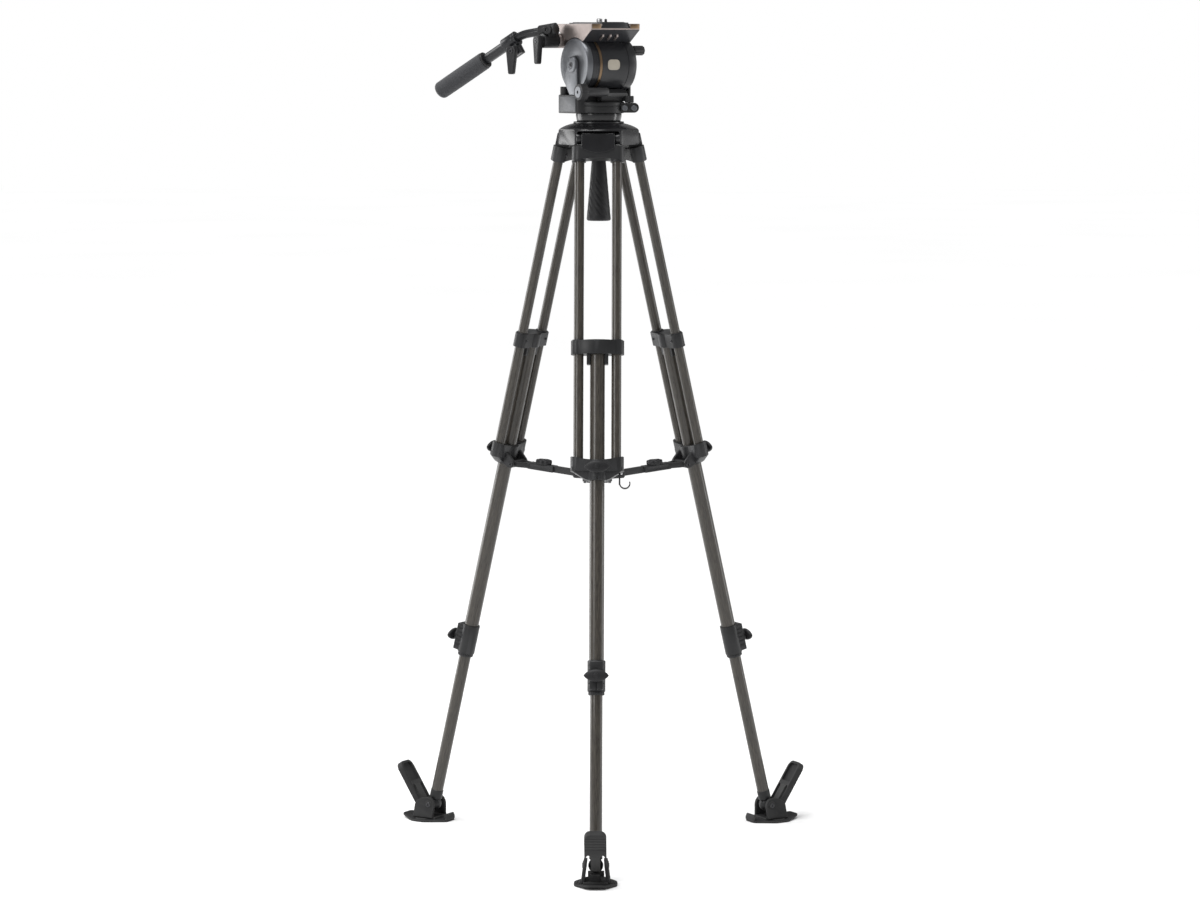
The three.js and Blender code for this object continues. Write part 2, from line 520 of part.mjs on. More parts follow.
function addHead(parent) {
  const head = addGroup(parent, [0, 0, 0], 0, HEAD_TURN);
  addPiece(head, 'half_ball', halfBall(), satin);
  addPiece(head, 'tie_down_handle', tieDownHandle(), rubber);
  addPiece(head, 'pan_base', panBase(), casting);
  addPiece(head, 'yoke', yoke(), casting);
  addPiece(head, 'tilt_drum', drum(), satin);
  addPiece(head, 'drum_cap', drumCap(), casting);
  addPiece(head, 'platform', platform(), champagne);
  addPiece(head, 'camera_plate', cameraPlate(), satin);
  addPiece(head, 'camera_screw', bar([0, 2, PLATFORM.slot + 1], [0, 2, 1365], 4.7, 16), steel);
  panLock(head);

  const dragSpot = addGroup(head, [YOKE.outer + GAP, DRAG.y, DRAG.z]);
  dragSpot.rotation.y = 90 * DEG;
  const dragKnob = join(flutedKnob(DRAG.knob, 0, 14, 10), bar([0, 0, -7], [0, 0, 1], 2.7, 10));
  addPiece(dragSpot, 'drag_knob', dragKnob, plastic);

  const lockSpot = addGroup(head, [DRUM.right - GAP, 12, 1313]);
  lockSpot.rotation.y = -90 * DEG;
  const tiltLock = join(bar([0, 0, 0], [0, 0, 12], 5.5, 14), flutedKnob(8, 11, 31, 8),
    bar([0, 0, -3.4], [0, 0, 1], 2.7, 10));
  addPiece(lockSpot, 'tilt_lock_knob', tiltLock, plastic);

  const plateLever = join(bar([-47, -12, 1351.5], [-51, -12, 1351.5], 5, 14),
    block([-55, -17, 1347.5], [-50.5, 16, 1355.5]),
    bar([-48, -12, 1351.5], [-41, -12, 1351.5], 2.7, 10));
  addPiece(head, 'plate_lock_lever', plateLever, plastic);
  addPanBar(head);
}

// ---------------------------------------------------------------- pan bar
// A point in the head's frame, from distances along the bar, across it towards the lens side, and up.
function barPoint(along, across, up) {
  const heading = BAR_HEADING * DEG;
  const [x, y, z] = BAR_ROOT;
  return [x - along * Math.sin(heading) - across * Math.cos(heading),
    y + along * Math.cos(heading) - across * Math.sin(heading), z + up];
}

function knuckle() {
  const { y, z, radius } = ROSETTE;
  const dip = (along) => -along * Math.tan(BAR_DIP * DEG);
  const body = join(bar([50.6, y, z], [79, y, z], radius, 16),
    block([56, y - 8, z], [72, y + 11, 1350]),
    bar(barPoint(-11, 0, dip(-11)), barPoint(20, 0, dip(20)), 10, 14),
    bar(barPoint(-1, 5, 0), barPoint(-1, 15, 0), 7.5, 14));
  return cut(body, bar([71, y, z], [80, y, z], 3, 8),
    bar(barPoint(9.2, 0, dip(9.2)), barPoint(23, 0, dip(23)), ROD_RADIUS + 2 * GAP, 12));
}

function bentRod() {
  const dip = Math.tan(BAR_DIP * DEG);
  const slope = BAR_SLOPE * DEG;
  const bend = [0, BAR_RUN, -BAR_RUN * dip];
  const tip = [0, bend[1] + ROD_LENGTH * Math.cos(slope), bend[2] - ROD_LENGTH * Math.sin(slope)];
  const elbow = new THREE.SphereGeometry(ROD_RADIUS + 0.5, 14, 8).translate(...bend);
  return join(bar([0, 9.5, -9.5 * dip], bend, ROD_RADIUS, 14), bar(bend, tip, ROD_RADIUS, 14),
    solid(elbow));
}

function addPanBar(head) {
  addPiece(head, 'pan_bar_clamp', knuckle(), casting);
  addPiece(head, 'upper_clamp_lever', hangingLever(79 + GAP, ROSETTE.y, ROSETTE.z, 38), plastic);
  const root = addGroup(head, BAR_ROOT, 0, BAR_HEADING);
  addPiece(root, 'pan_bar_rod', bentRod(), satin);

  const bend = [0, BAR_RUN, -BAR_RUN * Math.tan(BAR_DIP * DEG)];
  const lower = addGroup(root, bend, -BAR_SLOPE);
  const { outer, inner, start, end } = BAR_TUBE;
  const { radius, end: clampEnd, ear } = BAR_CLAMP;
  const sleeve = join(bar([0, start, 0], [0, end, 0], outer, 14),
    bar([0, start, 0], [0, clampEnd, 0], radius, 16),
    block([-9, start + 3, -ear - 8], [9, clampEnd - 3, -6]));
  const tubeShape = cut(sleeve, bar([0, start - 1, 0], [0, end - 7.5, 0], inner, 14),
    bar([-10, 22, -ear], [-2, 22, -ear], 3, 10));
  addPiece(lower, 'pan_bar_tube', tubeShape, satin);
  const leverSpot = addGroup(lower, [-9 - GAP, 22, -ear], -BAR_SLOPE, 180);
  addPiece(leverSpot, 'lower_clamp_lever', hangingLever(0, 0, 0, 38), plastic);
  const round = arcPoints(8, 0, 0, 90, 4).map(([x, y]) => [GRIP.radius - 8 + x, GRIP.end - 8 + y]);
  const outline = [[outer + GAP, GRIP.start], [GRIP.radius, GRIP.start], ...round, [0, GRIP.end],
    [0, end + GAP], [outer + GAP, end + GAP], [outer + GAP, GRIP.start]];
  const grip = new THREE.LatheGeometry(outline.map(([r, y]) => new THREE.Vector2(r, y)), 18);
  addPiece(lower, 'pan_bar_grip', solid(grip), foam);
}

// ---------------------------------------------------------------- assembly
const tripod = new THREE.Group();
const axis = addGroup(tripod, [0, AXIS_Y, 0]);
addPiece(axis, 'crown', crown(), casting);
for (const [side, azimuth] of Object.entries(LEGS)) addLeg(axis, side, azimuth);
addPiece(addGroup(axis, [0, 0, HUB_HEIGHT]), 'spreader_hub', spreaderHub(), casting);
addHead(axis);

export default tripod;
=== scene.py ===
"""Looks for the fluid head on its three-stage twin-tube tripod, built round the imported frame.
Lengths are in mm until a piece is placed; every placed piece is in metres."""

import math

import bmesh
import bpy
from mathutils import Matrix, Vector, noise


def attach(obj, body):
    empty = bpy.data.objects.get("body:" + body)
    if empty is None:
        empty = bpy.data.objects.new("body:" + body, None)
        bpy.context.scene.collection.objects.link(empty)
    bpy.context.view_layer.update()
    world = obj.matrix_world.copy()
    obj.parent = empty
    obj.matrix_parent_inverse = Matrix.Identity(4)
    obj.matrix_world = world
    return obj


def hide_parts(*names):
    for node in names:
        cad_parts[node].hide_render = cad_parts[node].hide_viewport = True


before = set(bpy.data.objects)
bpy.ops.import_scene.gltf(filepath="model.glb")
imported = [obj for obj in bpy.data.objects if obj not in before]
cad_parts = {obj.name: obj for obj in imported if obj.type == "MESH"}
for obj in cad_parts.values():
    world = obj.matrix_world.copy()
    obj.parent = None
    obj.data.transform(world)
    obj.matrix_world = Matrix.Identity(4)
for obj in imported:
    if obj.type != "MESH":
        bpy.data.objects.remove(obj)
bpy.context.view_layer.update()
MM = 0.001

# ---------------- driving sizes, as in the frame
AXIS_Y = 92.9
LEGS = {"front": -90, "left": 150, "right": 30}
HINGE_RADIUS, HINGE_HEIGHT, SPLAY = 50, 1170, 13.7
LEG_WIDTH, TUBE_OFFSET = 86, 30.5
BALL_DROP = 1175
LUG_INWARD, LUG_DROP = 24, 555
HUB_PIN_RADIUS, HUB_HEIGHT = 38, 615
BRACKET_KNOB, COLLAR_KNOB = 541, 876
ARM_KNOB, LEVER_DROP = 51, 38
BALL_RADIUS, BALL_HEIGHT = 37.5, 1209
HEAD_TURN = 213.5
BASE_LOW, BASE_ROUND, BASE_HIGH = 1211, 1230, 1241
DRAG_Y, DRAG_Z = 41, 1246
ROD_LENGTH, TUBE_END, GRIP_END = 168, 179.5, 186.5
UPPER_TUBE_END, TUBE_BORE = 544, 8.3
TILT_HEIGHT = 1290
PLATFORM_TOP, SLOT_FLOOR = 1356.4, 1349
ROSETTE_Y, ROSETTE_Z = -49, 1329
BAR_ROOT, BAR_HEADING = (64, -46, 1347), -151.6
BAR_RUN, BAR_DIP, BAR_SLOPE = 54, 8.5, 30.5
PLATE_LOCK_Y, PLATE_LOCK_Z = -12, 1351.5
TILT_LOCK_Y, TILT_LOCK_Z = 12, 1313
GAP = 0.3

# sizes of the looks only
MID_BORE = 12.3
BEVEL_ANGLE, SHARP_ANGLE = 35, 38
TUBE_PAIR = (("a", -TUBE_OFFSET), ("b", TUBE_OFFSET))


def shift(x, y, z):
    return Matrix.Translation((x * MM, y * MM, z * MM))


def turn(axis, degrees):
    return Matrix.Rotation(math.radians(degrees), 4, axis)


TRIPOD = shift(0, AXIS_Y, 0)
HEAD = TRIPOD @ turn("Z", HEAD_TURN)
BAR = HEAD @ shift(*BAR_ROOT) @ turn("Z", BAR_HEADING)
DIP_SLOPE = math.tan(math.radians(BAR_DIP))
BEND = (0, BAR_RUN, -BAR_RUN * DIP_SLOPE)
LOWER_BAR = BAR @ shift(*BEND) @ turn("X", -BAR_SLOPE)


def sector(side):
    return TRIPOD @ turn("Z", LEGS[side] - 90)


def leg_place(side):
    return sector(side) @ shift(0, HINGE_RADIUS, HINGE_HEIGHT) @ turn("X", SPLAY)


# ---------------- mesh kit
def new_object(name, data):
    made = bpy.data.objects.new(name, data)
    bpy.context.scene.collection.objects.link(made)
    return made


def mesh_from(bm):
    bmesh.ops.remove_doubles(bm, verts=bm.verts, dist=1e-4)
    bmesh.ops.recalc_face_normals(bm, faces=bm.faces)
    mesh = bpy.data.meshes.new("shape")
    bm.to_mesh(mesh)
    bm.free()
    return mesh


def evaluated(mesh, add_modifiers):
    """The mesh after the modifiers that add_modifiers puts on a temporary object."""
    holder = new_object("holder", mesh)
    others = add_modifiers(holder) or []
    depsgraph = bpy.context.evaluated_depsgraph_get()
    result = bpy.data.meshes.new_from_object(holder.evaluated_get(depsgraph))
    for other in [holder, *others]:
        bpy.data.objects.remove(other)
    return result


def combined(base, tools, operation):
    def add(holder):
        others = []
        for tool in tools:
            other = new_object("tool", tool)
            other.hide_render = True
            others.append(other)
            modifier = holder.modifiers.new("combine", "BOOLEAN")
            modifier.operation = operation
            modifier.solver = "MANIFOLD"
            modifier.object = other
        return others

    return evaluated(base, add)


def join(base, *tools):
    return combined(base, tools, "UNION")


def cut(base, *tools):
    return combined(base, tools, "DIFFERENCE")


def common(base, *tools):
    return combined(base, tools, "INTERSECT")


def bevelled(mesh, width, steps=2):
    def add(holder):
        modifier = holder.modifiers.new("edges", "BEVEL")
        modifier.width = width
        modifier.segments = steps
        modifier.limit_method = "ANGLE"
        modifier.angle_limit = math.radians(BEVEL_ANGLE)
        modifier.miter_outer = "MITER_ARC"
        modifier.use_clamp_overlap = True

    return evaluated(mesh, add)


def moved(mesh, *steps):
    """A copy of the mesh after moves given in mm and degrees, the last one first."""
    copy = mesh.copy()
    for step in reversed(steps):
        scaled = step.copy()
        scaled.translation = step.translation / MM
        copy.transform(scaled)
    return copy


def block(low, high):
    bm = bmesh.new()
    corners = [bm.verts.new([(low, high)[(i >> axis) & 1][axis] for axis in range(3)]) for i in range(8)]
    for face in ((0, 1, 3, 2), (4, 6, 7, 5), (0, 4, 5, 1), (2, 3, 7, 6), (0, 2, 6, 4), (1, 5, 7, 3)):
        bm.faces.new([corners[i] for i in face])
    return mesh_from(bm)


def rod(start, end, radius, sides=48):
    start, end = Vector(start), Vector(end)
    run = end - start
    place = Matrix.Translation((start + end) / 2) @ run.to_track_quat("Z", "Y").to_matrix().to_4x4()
    bm = bmesh.new()
    bmesh.ops.create_cone(bm, cap_ends=True, segments=sides, radius1=radius, radius2=radius,
                          depth=run.length, matrix=place)
    return mesh_from(bm)


def rod_x(low, high, y, z, radius, sides=48):
    return rod((low, y, z), (high, y, z), radius, sides)


def rod_y(x, low, high, z, radius, sides=48):
    return rod((x, low, z), (x, high, z), radius, sides)


def rod_z(x, y, low, high, radius, sides=48):
    return rod((x, y, low), (x, y, high), radius, sides)


def ball(centre, radius):
    bm = bmesh.new()
    bmesh.ops.create_uvsphere(bm, u_segments=48, v_segments=24, radius=radius,
                              matrix=Matrix.Translation(centre))
    return mesh_from(bm)


def skinned(sections):
    """A closed skin over sections of points, each with the same number of points, with flat ends."""
    bm = bmesh.new()
    rings = [[bm.verts.new(point) for point in section] for section in sections]
    bm.faces.new(rings[0])
    bm.faces.new(rings[-1][::-1])
    for a, b in zip(rings, rings[1:]):
        for i in range(len(a)):
            j = (i + 1) % len(a)
            bm.faces.new((a[i], a[j], b[j], b[i]))
    return mesh_from(bm)


def prism(points, low, high, axis="Z"):
    """An outline extruded along an axis: [x, y] along Z, [y, z] along X, [x, z] along Y."""
    def corner(point, height):
        a, b = point
        return {"Z": (a, b, height), "X": (height, a, b), "Y": (a, height, b)}[axis]

    return skinned([[corner(p, height) for p in points] for height in (low, high)])


def turned(outline, sides, wave=None):
    """A closed outline of (radius, height) turned about Z. wave(angle, height, radius) adds to it."""
    bm = bmesh.new()
    rings = []
    for radius, height in outline:
        if radius < 1e-6:
            rings.append([bm.verts.new((0, 0, height))])
            continue
        ring = []
        for i in range(sides):
            angle = 2 * math.pi * i / sides
            reach = radius + (wave(angle, height, radius) if wave else 0)
            ring.append(bm.verts.new((reach * math.cos(angle), reach * math.sin(angle), height)))
        rings.append(ring)
    for a, b in zip(rings, rings[1:] + rings[:1]):
        if len(a) == 1 and len(b) == 1:
            continue
        for i in range(sides):
            j = (i + 1) % sides
            corners = [a[i % len(a)], a[j % len(a)], b[j % len(b)], b[i % len(b)]]
            unique = list(dict.fromkeys(corners))
            bm.faces.new(unique)
    return mesh_from(bm)


def arc(radius, height, start, end, steps):
    """Points on an arc about (0, height), between two angles."""
    angles = [math.radians(start + (end - start) * i / steps) for i in range(steps + 1)]
    return [(radius * math.cos(a), height + radius * math.sin(a)) for a in angles]


def rounded(points, radius, steps=5):
    """The outline with each corner rounded. A radius list gives each corner its own."""
    radii = radius if isinstance(radius, (list, tuple)) else [radius] * len(points)
    out = []
    for i, here in enumerate(points):
        here = Vector(here)
        before, after = Vector(points[i - 1]) - here, Vector(points[(i + 1) % len(points)]) - here
        reach = min(radii[i], 0.48 * before.length, 0.48 * after.length)
        if reach < 1e-3:
            out.append(tuple(here))
            continue
        a, b = here + before.normalized() * reach, here + after.normalized() * reach
        for k in range(steps + 1):
            t = k / steps
            out.append(tuple((1 - t) ** 2 * a + 2 * t * (1 - t) * here + t * t * b))
    return out


def lozenge(width, depth, low, high):
    """A plate with round ends, across the leg."""
    reach = (width - depth) / 2
    outline = [(centre + x, y) for centre, start in ((reach, -90), (-reach, 90))
               for x, y in arc(depth / 2, 0, start, start + 180, 14)]
    return prism(outline, low, high)


def ring(outer, inner, low, high, edge=0.4, sides=56):
    return turned([(inner, low), (outer - edge, low), (outer, low + edge), (outer, high - edge),
                   (outer - edge, high), (inner, high)], sides)


def piece(name, mesh, place, body, finish, *nodes, slot=None, edge=0.0):
    """Bevels a shape, puts it in place and fixes it to a body, with the nodes it stands for.
    A finish is a material with its usual slot; the slot is not used."""
    usual_slot, material = finish
    if edge:
        mesh = bevelled(mesh, edge)
    mesh.transform(Matrix.Scale(MM, 4))
    mesh.name = name
    for polygon in mesh.polygons:
        polygon.use_smooth = True
    mesh.set_sharp_from_angle(angle=math.radians(SHARP_ANGLE))
    mesh.materials.clear()
    mesh.materials.append(material)
    thing = new_object(name, mesh)
    thing.matrix_world = place
    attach(thing, body)
    if nodes:
        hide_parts(*nodes)
    return thing


# ---------------- materials
def start_material(name, colour, roughness, metallic=0.0, coat=0.0, specular=0.5):
    material = bpy.data.materials.new(name)
    material.use_nodes = True
    tree = material.node_tree
    shader = tree.nodes["Principled BSDF"]
    shader.inputs["Base Color"].default_value = (*colour, 1)
    shader.inputs["Roughness"].default_value = roughness
    shader.inputs["Metallic"].default_value = metallic
    shader.inputs["Coat Weight"].default_value = coat
    shader.inputs["Coat Roughness"].default_value = 0.12
    shader.inputs["Specular IOR Level"].default_value = specular
    return material, tree, shader


def node(tree, kind, **settings):
    made = tree.nodes.new(kind)
    for key, value in settings.items():
        setattr(made, key, value)
    return made


def noise_of(tree, scale, detail, stretch=(1, 1, 1), rotation=(0, 0, 0), distortion=0.0):
    """A noise value over the piece's own coordinates, in metres."""
    coordinates = node(tree, "ShaderNodeTexCoord")
    mapping = node(tree, "ShaderNodeMapping")
    mapping.inputs["Scale"].default_value = stretch
    mapping.inputs["Rotation"].default_value = rotation
    pattern = node(tree, "ShaderNodeTexNoise")
    pattern.inputs["Scale"].default_value = scale
    pattern.inputs["Detail"].default_value = detail
    pattern.inputs["Distortion"].default_value = distortion
    tree.links.new(coordinates.outputs["Object"], mapping.inputs["Vector"])
    tree.links.new(mapping.outputs["Vector"], pattern.inputs["Vector"])
    return pattern.outputs["Fac"]


def ramp(tree, value, stops):
    made = node(tree, "ShaderNodeValToRGB")
    elements = made.color_ramp.elements
    while len(elements) < len(stops):
        elements.new(0.5)
    for element, (place, colour) in zip(elements, stops):
        element.position = place
        element.color = (*colour, 1) if isinstance(colour, tuple) else (colour, colour, colour, 1)
    tree.links.new(value, made.inputs["Fac"])
    return made.outputs["Color"]


def mixed(tree, factor, first, second):
    made = node(tree, "ShaderNodeMix", data_type="RGBA")
    for socket, value in ((made.inputs[0], factor), (made.inputs[6], first), (made.inputs[7], second)):
        if isinstance(value, bpy.types.NodeSocket):
            tree.links.new(value, socket)
        else:
            socket.default_value = value if isinstance(value, float) else (*value, 1)
    return made.outputs[2]


def bump(tree, shader, value, strength, distance):
    made = node(tree, "ShaderNodeBump")
    made.inputs["Strength"].default_value = strength
    made.inputs["Distance"].default_value = distance
    tree.links.new(value, made.inputs["Height"])
    tree.links.new(made.outputs["Normal"], shader.inputs["Normal"])


def edges(tree):
    """1 where the surface turns sharply outwards, for rubbed edges that also carry a painted edge
    highlight.
    """
    geometry = node(tree, "ShaderNodeNewGeometry")
    return ramp(tree, geometry.outputs["Pointiness"], [(0.52, 0.0), (0.6, 1.0)])


def moulded(name, colour, worn_and_highlight_colour, roughness, grain, metallic=0.0, coat=0.0, wear_and_highlight=0.35, specular=0.5):
    """A moulded, cast or painted surface: fine grain, cloudy tone and lighter edges, partly rubbed wear and
    partly a painted highlight.
    """
    material, tree, shader = start_material(name, colour, roughness, metallic, coat, specular)
    cloud = ramp(tree, noise_of(tree, 22, 5), [(0.35, 0.0), (0.7, 1.0)])
    lighter = tuple(min(1, c * 1.35 + 0.004) for c in colour)
    tone = mixed(tree, cloud, colour, lighter)
    # Sharp edges are mixed towards the lighter edge colour: partly rubbed wear, partly a painted edge
    # highlight.
    rub_and_highlight = node(tree, "ShaderNodeMath", operation="MULTIPLY")
    tree.links.new(edges(tree), rub_and_highlight.inputs[0])
    rub_and_highlight.inputs[1].default_value = wear_and_highlight
    tree.links.new(mixed(tree, rub_and_highlight.outputs[0], tone, worn_and_highlight_colour), shader.inputs["Base Color"])
    gloss = ramp(tree, noise_of(tree, 60, 4), [(0.3, roughness * 0.95), (0.7, min(1, roughness * 1.06))])
    tree.links.new(gloss, shader.inputs["Roughness"])
    bump(tree, shader, noise_of(tree, grain, 2), 0.22, 0.0002)
    return material


def carbon_material(name):
    """Wound carbon tube: narrow streaks that lean a little round the tube, under a satin lacquer."""
    material, tree, shader = start_material(name, (0.018, 0.016, 0.014), 0.3, 0.0, 0.25, 0.42)
    streaks = noise_of(tree, 34, 6, (26, 26, 1.7), (0.10, 0.10, 0.0), 0.3)
    fine = noise_of(tree, 110, 3, (18, 18, 1.0), (-0.14, 0.12, 0.0))
    brown = ramp(tree, streaks, [(0.3, (0.014, 0.012, 0.0105)), (0.52, (0.034, 0.029, 0.023)),
                                 (0.75, (0.072, 0.061, 0.048))])
    tree.links.new(mixed(tree, ramp(tree, fine, [(0.4, 0.0), (0.66, 0.5)]), brown, (0.058, 0.052, 0.043)),
                   shader.inputs["Base Color"])
    tree.links.new(ramp(tree, streaks, [(0.3, 0.26), (0.7, 0.42)]), shader.inputs["Roughness"])
    bump(tree, shader, streaks, 0.12, 0.0002)
    return material


def brushed(name, colour, roughness, stretch, metallic=1.0, darker=0.8, strength=0.1):
    """Machined or brushed metal with fine parallel lines."""
    material, tree, shader = start_material(name, colour, roughness, metallic)
    lines = noise_of(tree, 60, 4, stretch)
    low = tuple(c * darker for c in colour)
    tree.links.new(ramp(tree, lines, [(0.3, low), (0.7, colour)]), shader.inputs["Base Color"])
    gloss = ramp(tree, noise_of(tree, 35, 3, stretch), [(0.3, roughness * 0.85), (0.7, roughness * 1.2)])
    tree.links.new(gloss, shader.inputs["Roughness"])
    bump(tree, shader, lines, strength, 0.0001)
    return material


def foam_material(name):
    material, tree, shader = start_material(name, (0.045, 0.046, 0.049), 0.95, 0.0, 0.0, 0.25)
    shader.inputs["Sheen Weight"].default_value = 0.15
    shader.inputs["Sheen Roughness"].default_value = 0.5
    cells = node(tree, "ShaderNodeTexVoronoi")
    cells.inputs["Scale"].default_value = 900
    coordinates = node(tree, "ShaderNodeTexCoord")
    tree.links.new(coordinates.outputs["Object"], cells.inputs["Vector"])
    dark, light = (0.034, 0.035, 0.038), (0.060, 0.061, 0.065)
    speckle = ramp(tree, noise_of(tree, 700, 2), [(0.35, dark), (0.7, light)])
    tree.links.new(speckle, shader.inputs["Base Color"])
    bump(tree, shader, cells.outputs["Distance"], 0.5, 0.0004)
    return material


CARBON = "carbon_tube", carbon_material("carbon_lacquer")
CASTING = "black_casting", moulded("casting_black", (0.009, 0.0092, 0.0098), (0.06, 0.06, 0.063), 0.40,
                                   900, wear_and_highlight=0.3, specular=0.32)
PLASTIC = "black_plastic", moulded("moulded_black", (0.009, 0.009, 0.0098), (0.05, 0.05, 0.053), 0.44,
                                   1300, wear_and_highlight=0.3, specular=0.32)
GLOSS = "black_plastic", moulded("gloss_black", (0.005, 0.005, 0.006), (0.03, 0.03, 0.033), 0.2, 300,
                                 coat=0.2, wear_and_highlight=0.1, specular=0.35)
SATIN = "satin_black", moulded("satin_black", (0.008, 0.0085, 0.010), (0.06, 0.06, 0.066), 0.30, 700,
                               wear_and_highlight=0.2, specular=0.38)
RUBBER = "black_rubber", moulded("foot_rubber", (0.016, 0.016, 0.0165), (0.09, 0.09, 0.088), 0.72, 700,
                                 wear_and_highlight=0.5, specular=0.25)
KNOB = "black_plastic", moulded("knob_rubber", (0.0085, 0.0085, 0.0095), (0.05, 0.05, 0.052), 0.5, 1000,
                                specular=0.3)
CROWN_FINISH = "black_casting", moulded("crown_gloss", (0.006, 0.006, 0.007), (0.05, 0.05, 0.053), 0.27,
                                        420, coat=0.1, wear_and_highlight=0.15, specular=0.35)
GREY_CAP = "black_casting", brushed("cap_grey", (0.13, 0.135, 0.145), 0.36, (1, 1, 1), metallic=0.75,
                                    darker=0.9, strength=0.04)
CHAMPAGNE = "champagne_metal", brushed("champagne_anodised", (0.29, 0.25, 0.235), 0.42, (3, 40, 3),
                                       metallic=0.9, darker=0.88, strength=0.05)
BRONZE = "champagne_metal", brushed("bronze_anodised", (0.21, 0.145, 0.09), 0.34, (40, 3, 3),
                                    metallic=0.9, darker=0.85, strength=0.05)
STEEL = "steel", brushed("bright_steel", (0.55, 0.55, 0.56), 0.25, (4, 4, 40), strength=0.05)
BRUSHED_BLACK = "black_casting", brushed("brushed_black", (0.05, 0.052, 0.056), 0.34, (3, 3, 60),
                                         metallic=0.7, darker=0.75)
BADGE = "champagne_metal", moulded("badge_cream", (0.30, 0.27, 0.22), (0.36, 0.33, 0.28), 0.4, 600)
SCREW = "steel", moulded("screw_black", (0.015, 0.015, 0.017), (0.14, 0.14, 0.145), 0.32, 900, metallic=0.6)
FOAM = "grip_foam", foam_material("grip_foam")
VIAL = "black_plastic", moulded("vial_green", (0.30, 0.42, 0.16), (0.4, 0.5, 0.3), 0.12, 60, coat=0.6,
                                wear_and_highlight=0.1)


# ---------------- small parts that repeat
def cap_screw(radius, height):
    """A socket-head screw along +Z with its hexagonal socket."""
    outline = [(0, -1), (radius, -1), (radius, height - 0.35), (radius - 0.35, height), (0, height)]
    return cut(turned(outline, 28), rod_z(0, 0, height * 0.45, height + 1, radius * 0.52, sides=6))


def bolt_pair(stem, radius, height, at, place, body):
    """Two bolt heads that face outwards, at both sides of the leg's middle plane."""
    reach, y, z = at
    for name, way in (("a", -1), ("b", 1)):
        head = moved(cap_screw(radius, height), shift(way * reach, y, z), turn("Y", 90 * way))
        piece(f"{stem}_{name}", head, place, body, SCREW)


def fluted_knob(radius, low, high, flutes, depth, crown):
    """A round grip about Z with soft flutes and a crowned top."""
    def wave(angle, _, reach):
        if reach <= radius * 0.8:
            return 0
        return -reach * depth * (0.5 - 0.5 * math.cos(flutes * angle)) ** 3

    outline = [(0, low), (radius - 0.8, low), (radius, low + 0.8), (radius, high - crown),
               (radius - 0.35 * crown, high - 0.35 * crown), (radius - crown, high),
               (radius * 0.62, high), (radius * 0.58, high - 0.6), (0, high - 0.6)]
    return turned(outline, 120, wave)


def knurled_knob(radius, low, high, ridges):
    def wave(angle, _, reach):
        return -0.55 * (0.5 + 0.5 * math.cos(ridges * angle)) if reach > radius - 0.5 else 0

    outline = [(0, low), (radius - 0.9, low), (radius, low + 0.9), (radius, high - 0.9),
               (radius - 0.9, high), (0, high)]
    return turned(outline, ridges * 6, wave)


def leaf(seat, drop):
    """A thick leaf with pointed ends: 40 across, 20 high, 9 deep."""
    sections = []
    for i in range(41):
        x = -20 * math.cos(math.pi * i / 40)
        taper = max(1 - abs(x / 20) ** 1.9, 0.0004)
        half_z, half_y = 10 * taper ** 0.72, 4.5 * taper ** 0.4
        section = []
        for k in range(36):
            angle = math.radians(10 * k)
            depth = math.copysign(abs(math.cos(angle)) ** 0.6, math.cos(angle))
            section.append((x, seat + 8.5 + half_y * depth, half_z * math.sin(angle) - drop))
        sections.append(section)
    return skinned(sections)


def wing_knob(stem, seat, drop, place):
    """A leaf-shaped wing knob along +Y on a round hub, with a plug in its middle."""
    name, body = f"{stem}_wing", f"{stem}_knob"
    hub = rod_y(0, seat, seat + 5, -drop, 7)
    screw = rod_y(0, seat - 6.5, seat + 1, -drop, 2.6, sides=24)
    dish = rod_y(0, seat + 12.2, seat + 14, -drop, 4.6)
    shape = cut(join(leaf(seat, drop), hub, screw), dish)
    piece(name, shape, place, body, KNOB, body)
    plug = rod_y(0, seat + 11.6, seat + 12.9, -drop, 4.2)
    piece(f"{name}_plug", plug, place, body, PLASTIC, edge=0.4)


def clamp_lever(name, place, seat, y, z, body):
    """A lever along +X from its seat: a round hub and a flared arm that hangs down."""
    arm = [(y - 5.2, z - LEVER_DROP), (y + 4.2, z - LEVER_DROP), (y + 9.5, z + 2), (y + 6, z + 8),
           (y - 6, z + 8), (y - 9.5, z + 2)]
    blade = bevelled(prism(rounded(arm, [3, 3, 5, 5, 5, 5]), seat + 3, seat + 12, "X"), 1.6, 3)
    hub = rod_x(seat, seat + 4, y, z, 8)
    screw = rod_x(seat - 6.5, seat + 1, y, z, 2.6, sides=24)
    dish = rod_x(seat + 11.2, seat + 13, y, z, 5)
    piece(name, cut(join(blade, hub, screw), dish), place, body, PLASTIC, body)
    head = moved(cap_screw(4, 2), shift(seat + 10.6, y, z), turn("Y", 90))
    piece(f"{name}_screw", head, place, body, SCREW)


def arched_below(drop, depth, half_width, sag):
    """A cutter that arches the lower edge of a band across the leg."""
    radius = (half_width ** 2 + sag ** 2) / (2 * sag)
    points = [(-half_width, -drop - 8), (half_width, -drop - 8)]
    for i in range(13):
        x = half_width * (1 - 2 * i / 12)
        points.append((x, -drop + math.sqrt(radius ** 2 - x ** 2) - radius + sag - 0.02))
    return prism(points, -depth, depth, "Y")


